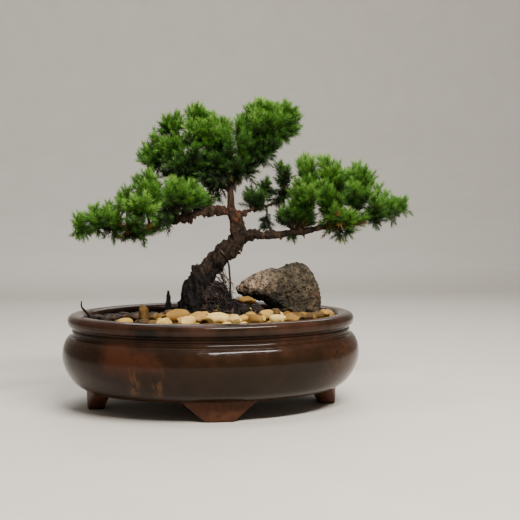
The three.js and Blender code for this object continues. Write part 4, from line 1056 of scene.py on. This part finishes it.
def make_pebbles(finish):
    rng = random.Random(5)
    plain = [model_pebble(number, 2) for number in range(PEBBLE_KINDS)]
    close = [model_pebble(number, 3, 5) for number in range(CLOSE_KINDS)]
    front = [(x, y) for x, y, _, _, _ in FRONT_PEBBLES]
    laid = [(stone, plain) for stone in bed_layer(rng, spacing=8.6, rise=6.0, taken=[], apart=0)]
    laid += [(stone, plain) for stone in bed_layer(rng, spacing=10.2, rise=10.0, taken=front, apart=7.5)]
    laid += [(stone, close) for stone in FRONT_PEBBLES + PALE_CRUMBS]
    laid += [(stone, close) for stone in fill_between(random.Random(8), FRONT_PEBBLES)]
    patches = [[] for _ in PEBBLE_PATCHES]
    for (x, y, top, width, tone), kinds in laid:
        sector = int((math.atan2(y, x) % math.tau) / (math.tau / len(PEBBLE_PATCHES)))
        patches[sector].append(pebble_at(kinds, rng, x, y, top, width, tone))
    for patch, stones in zip(PEBBLE_PATCHES, patches):
        node = "pebbles_" + patch
        stand_for(fuse("river_" + node, stones), finish, node)
    ochre = single_pebble("ochre_pebble", close[0], placed(*OCHRE_PLACE), 0.12, 4.9, 0.54)
    upright = single_pebble("upright_pebble", close[2], placed(*UPRIGHT_PLACE), math.pi / 2, 5.6, 0.42)
    stand_for(ochre, finish, "pebble_ochre")
    stand_for(upright, finish, "pebble_upright")
    discard(*plain, *close)


# Foliage.


def model_needle():
    """One awl-shaped needle along +Z, one unit long, that starts at a point inside the stem."""
    width = NEEDLE_HALF_WIDTH / NEEDLE_LENGTH
    bpy.ops.mesh.primitive_cone_add(vertices=3, radius1=width, radius2=0, depth=0.78, location=(0, 0, 0.61))
    needle = bpy.context.object
    settle(needle)
    edit_chosen(needle, "FACE", needle.data.polygons, lambda face: face.normal.z < -0.9)
    extrude((0, 0, -0.22))
    bpy.ops.mesh.merge(type="CENTER")
    leave_edit()
    outward(needle)
    return needle


def model_stem():
    """A slim stem along +Z, one unit long, that narrows upwards."""
    bpy.ops.mesh.primitive_cone_add(vertices=4, radius1=1, radius2=0.6, depth=1, location=(0, 0, 0.5))
    stem = bpy.context.object
    settle(stem)
    return stem


def model_shoot(number, needle, stem):
    """A bottle brush of needles in whorls of three along a stem that leans a little."""
    rng = random.Random(100 + number)
    bend = rng.uniform(0.06, 0.2)
    size = Matrix.Diagonal((SHOOT_RADIUS * MM, SHOOT_RADIUS * MM, SHOOT_STEM * MM, 1))
    parts = [copy_of(stem, size, youth=STEM_YOUTH, tone=0.0)]
    for whorl in range(SHOOT_WHORLS):
        share = whorl / (SHOOT_WHORLS - 1)
        centre = Vector((bend * share * share, 0, 0.02 + 0.97 * share)) * SHOOT_STEM * MM
        for side in range(3):
            azimuth = whorl * math.radians(WHORL_TURN) + side * math.tau / 3 + rng.uniform(-0.3, 0.3)
            tilt = math.radians(NEEDLE_SPREAD - NEEDLE_SPREAD_LOSS * share * share) + rng.uniform(-0.16, 0.16)
            length = NEEDLE_LENGTH * (1.0 - 0.22 * share) * rng.uniform(0.85, 1.12) * MM
            turn = Matrix.Rotation(azimuth, 4, "Z") @ Matrix.Rotation(tilt, 4, "Y")
            leaf = copy_of(needle, Matrix.Translation(centre) @ turn @ Matrix.Scale(length, 4), tone=0.0)
            ages = [0.75 * share + 0.25 * (vertex.co.z > 0.5) for vertex in needle.data.vertices]
            set_mark(leaf, "youth", ages)
            parts.append(leaf)
    return fuse("shoot_%d" % number, parts)


def clothe_twig(start, tip, top, rng, bare, tone, dead, shoots, stem):
    """A twig from its root to a tuft's tip, with shoots within its reach that are painted darker below the spray's
    top, as shade and older growth.
    """
    reach = tip - start
    ahead = reach.normalized()
    bend = start + reach * 0.5 + Vector((0, 0, -0.1 * reach.length))

    def along(t):
        return start * (1 - t) ** 2 + bend * 2 * t * (1 - t) + tip * t * t

    parts = []
    knots = [along(t) for t in TWIG_JOINTS]
    for i, (a, b) in enumerate(zip(knots, knots[1:])):
        width = (TWIG_RADIUS - TWIG_TAPER * i) * MM
        size = Matrix.Diagonal((width, width, (b - a).length * 1.05, 1))
        parts.append(copy_of(stem, Matrix.Translation(a) @ turned_to(b - a) @ size, youth=STEM_YOUTH, tone=0.0))
    count = max(5, round(reach.length / MM / SHOOT_SPACING) + 2)
    for k in range(count):
        share = k / (count - 1)
        leading = k == count - 1
        t = bare + (LEAFY_END - bare) * share
        forward = (along(min(t + 0.05, 1.0)) - along(t - 0.05)).normalized()
        side = forward.orthogonal().normalized()
        side.rotate(Matrix.Rotation(k * GOLDEN_ANGLE + rng.uniform(-0.4, 0.4), 3, forward))
        spread = math.radians(LEADING_SPREAD if leading else SHOOT_SPREAD - SHOOT_SPREAD_LOSS * share)
        lift = UPWARD_PULL if forward.z > -0.2 else 0.0
        way = (forward * math.cos(spread) + side * math.sin(spread) + Vector((0, 0, lift))).normalized()
        size = rng.uniform(*SHOOT_SIZES)
        base = along(t)
        room = (tip - base).dot(ahead) + 0.4 * MM
        needed = SHOOT_LENGTH * MM * size * max(way.dot(ahead), 0.0)
        if needed > room:
            size = max(size * max(room, 0.0) / needed, SHORTEST_SHARE)
            base = base - ahead * max(SHOOT_LENGTH * MM * size * way.dot(ahead) - room, 0.0)
        matrix = Matrix.Translation(base) @ turned_to(way) @ Matrix.Rotation(rng.uniform(0, math.tau), 4, "Z")
        # Painted light and shade: upright shoots are brighter, and shoots deep below the spray's top darker.
        lit = tone + rng.uniform(-0.2, 0.18) + UPRIGHT_LIGHT * (way.z - 0.4) + TIP_LIGHT * (share - 0.6)
        lit -= SHADE_PER_MM * max(top - base.z / MM - LIT_DEPTH, 0.0)
        if rng.random() < dead * (HANGING_DEAD if way.z < 0.15 else UPRIGHT_DEAD):
            lit = DEAD_TONE
        parts.append(copy_of(rng.choice(shoots), matrix @ Matrix.Scale(size, 4), tone=lit))
    return parts


def grow_spray(name, root, tufts, tone, dead, shoots, stem, finish):
    rng = random.Random("juniper " + name)
    bare = BARE_SHARES.get(name, USUAL_BARE_SHARE)
    top = max(tuft[2] for tuft in tufts)
    parts = []
    for tuft in tufts:
        parts += clothe_twig(placed(*root), placed(*tuft), top, rng, bare, tone, dead, shoots, stem)
    spray = fuse("juniper_" + name, parts)
    stand_for(spray, finish, "spray_" + name)


def make_foliage(finish):
    needle = model_needle()
    stem = model_stem()
    shoots = [model_shoot(number, needle, stem) for number in range(SHOOT_KINDS)]
    for pad, sprays in PADS.items():
        for number, (root, tone, dead, tufts) in enumerate(sprays, 1):
            grow_spray("%s_%d" % (pad, number), root, tufts, tone, dead, shoots, stem, finish)
    discard(needle, stem, *shoots)


# Studio.


def set_camera():
    bpy.ops.object.camera_add(location=placed(*EYE))
    camera = bpy.context.object
    camera.rotation_euler = [math.radians(angle) for angle in EYE_TURN]
    camera.data.lens = camera.data.sensor_width * FOCAL_PIXELS / IMAGE_PIXELS
    camera.data.shift_y = 1 / IMAGE_PIXELS
    camera.data.clip_end = 20
    bpy.context.scene.camera = camera


def soft_box(name, place, aim, size, power, colour=(1, 1, 1)):
    bpy.ops.object.light_add(type="AREA", location=placed(*place))
    lamp = bpy.context.object
    lamp.name = name
    lamp.data.shape = "RECTANGLE"
    lamp.data.size = size[0] * MM
    lamp.data.size_y = size[1] * MM
    lamp.data.energy = power
    lamp.data.color = colour
    lamp.rotation_euler = (placed(*aim) - placed(*place)).to_track_quat("-Z", "Y").to_euler()


def set_studio(finish):
    """A floor that curves up into a round backdrop, a wide soft key from the right front and weak fills."""
    bpy.ops.mesh.primitive_circle_add(vertices=96, radius=SWEEP[0][0], fill_type="NGON", location=(0, 0, 0))
    backdrop = bpy.context.object
    backdrop.name = "studio_floor"
    edit(backdrop, "EDGE")
    bpy.ops.mesh.region_to_loop()
    for (radius, high), (next_radius, next_high) in zip(SWEEP, SWEEP[1:]):
        bpy.ops.mesh.extrude_edges_move(TRANSFORM_OT_translate={"value": (0, 0, next_high - high)})
        wider = next_radius / radius
        stretch((wider, wider, 1), (0, 0, next_high))
    leave_edit()
    smooth(backdrop, 60)
    finish.on(backdrop)
    world = bpy.data.worlds.new("soft_room")
    bpy.context.scene.world = world
    world.use_nodes = True
    world.node_tree.nodes["Background"].inputs[0].default_value = (0.96, 0.97, 1.0, 1)
    world.node_tree.nodes["Background"].inputs[1].default_value = 0.4
    soft_box("key_light", (215, -480, 620), (10, 0, 70), (520, 80), 11.5, (1, 0.97, 0.92))
    soft_box("top_light", (-60, -60, 900), (0, 0, 100), (500, 500), 4.4, (1, 0.98, 0.95))
    soft_box("back_light", (120, 520, 620), (0, 0, 110), (600, 400), 3.0)
    soft_box("backdrop_wash", (0, 900, 900), (0, 2400, 700), (900, 500), 14.0)


bark = bark_finish()
make_pot(glaze_finish())
mound = make_soil(soil_finish())
make_roots(mound, root_finish())
make_trunk(bark)
make_wire(grained_finish("brown_wire", 3, 3, WIRE_BROWNS, 0.15, 0.5, Roughness=0.45, Metallic=0.4))
make_rock(rock_finish())
make_litter(bark)
make_pebbles(pebble_finish())
screens = [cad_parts["drainage_screen_" + side] for side in ("left", "right")]
grained_finish("black_plastic_mesh", 1.5, 2, MESH_BLACKS, 0.08, 0.4, Roughness=0.6).on(*screens)
make_foliage(needle_finish())
set_studio(grained_finish("pale_backdrop", 60, 4, BACKDROP_PALES, Roughness=0.7))
set_camera()
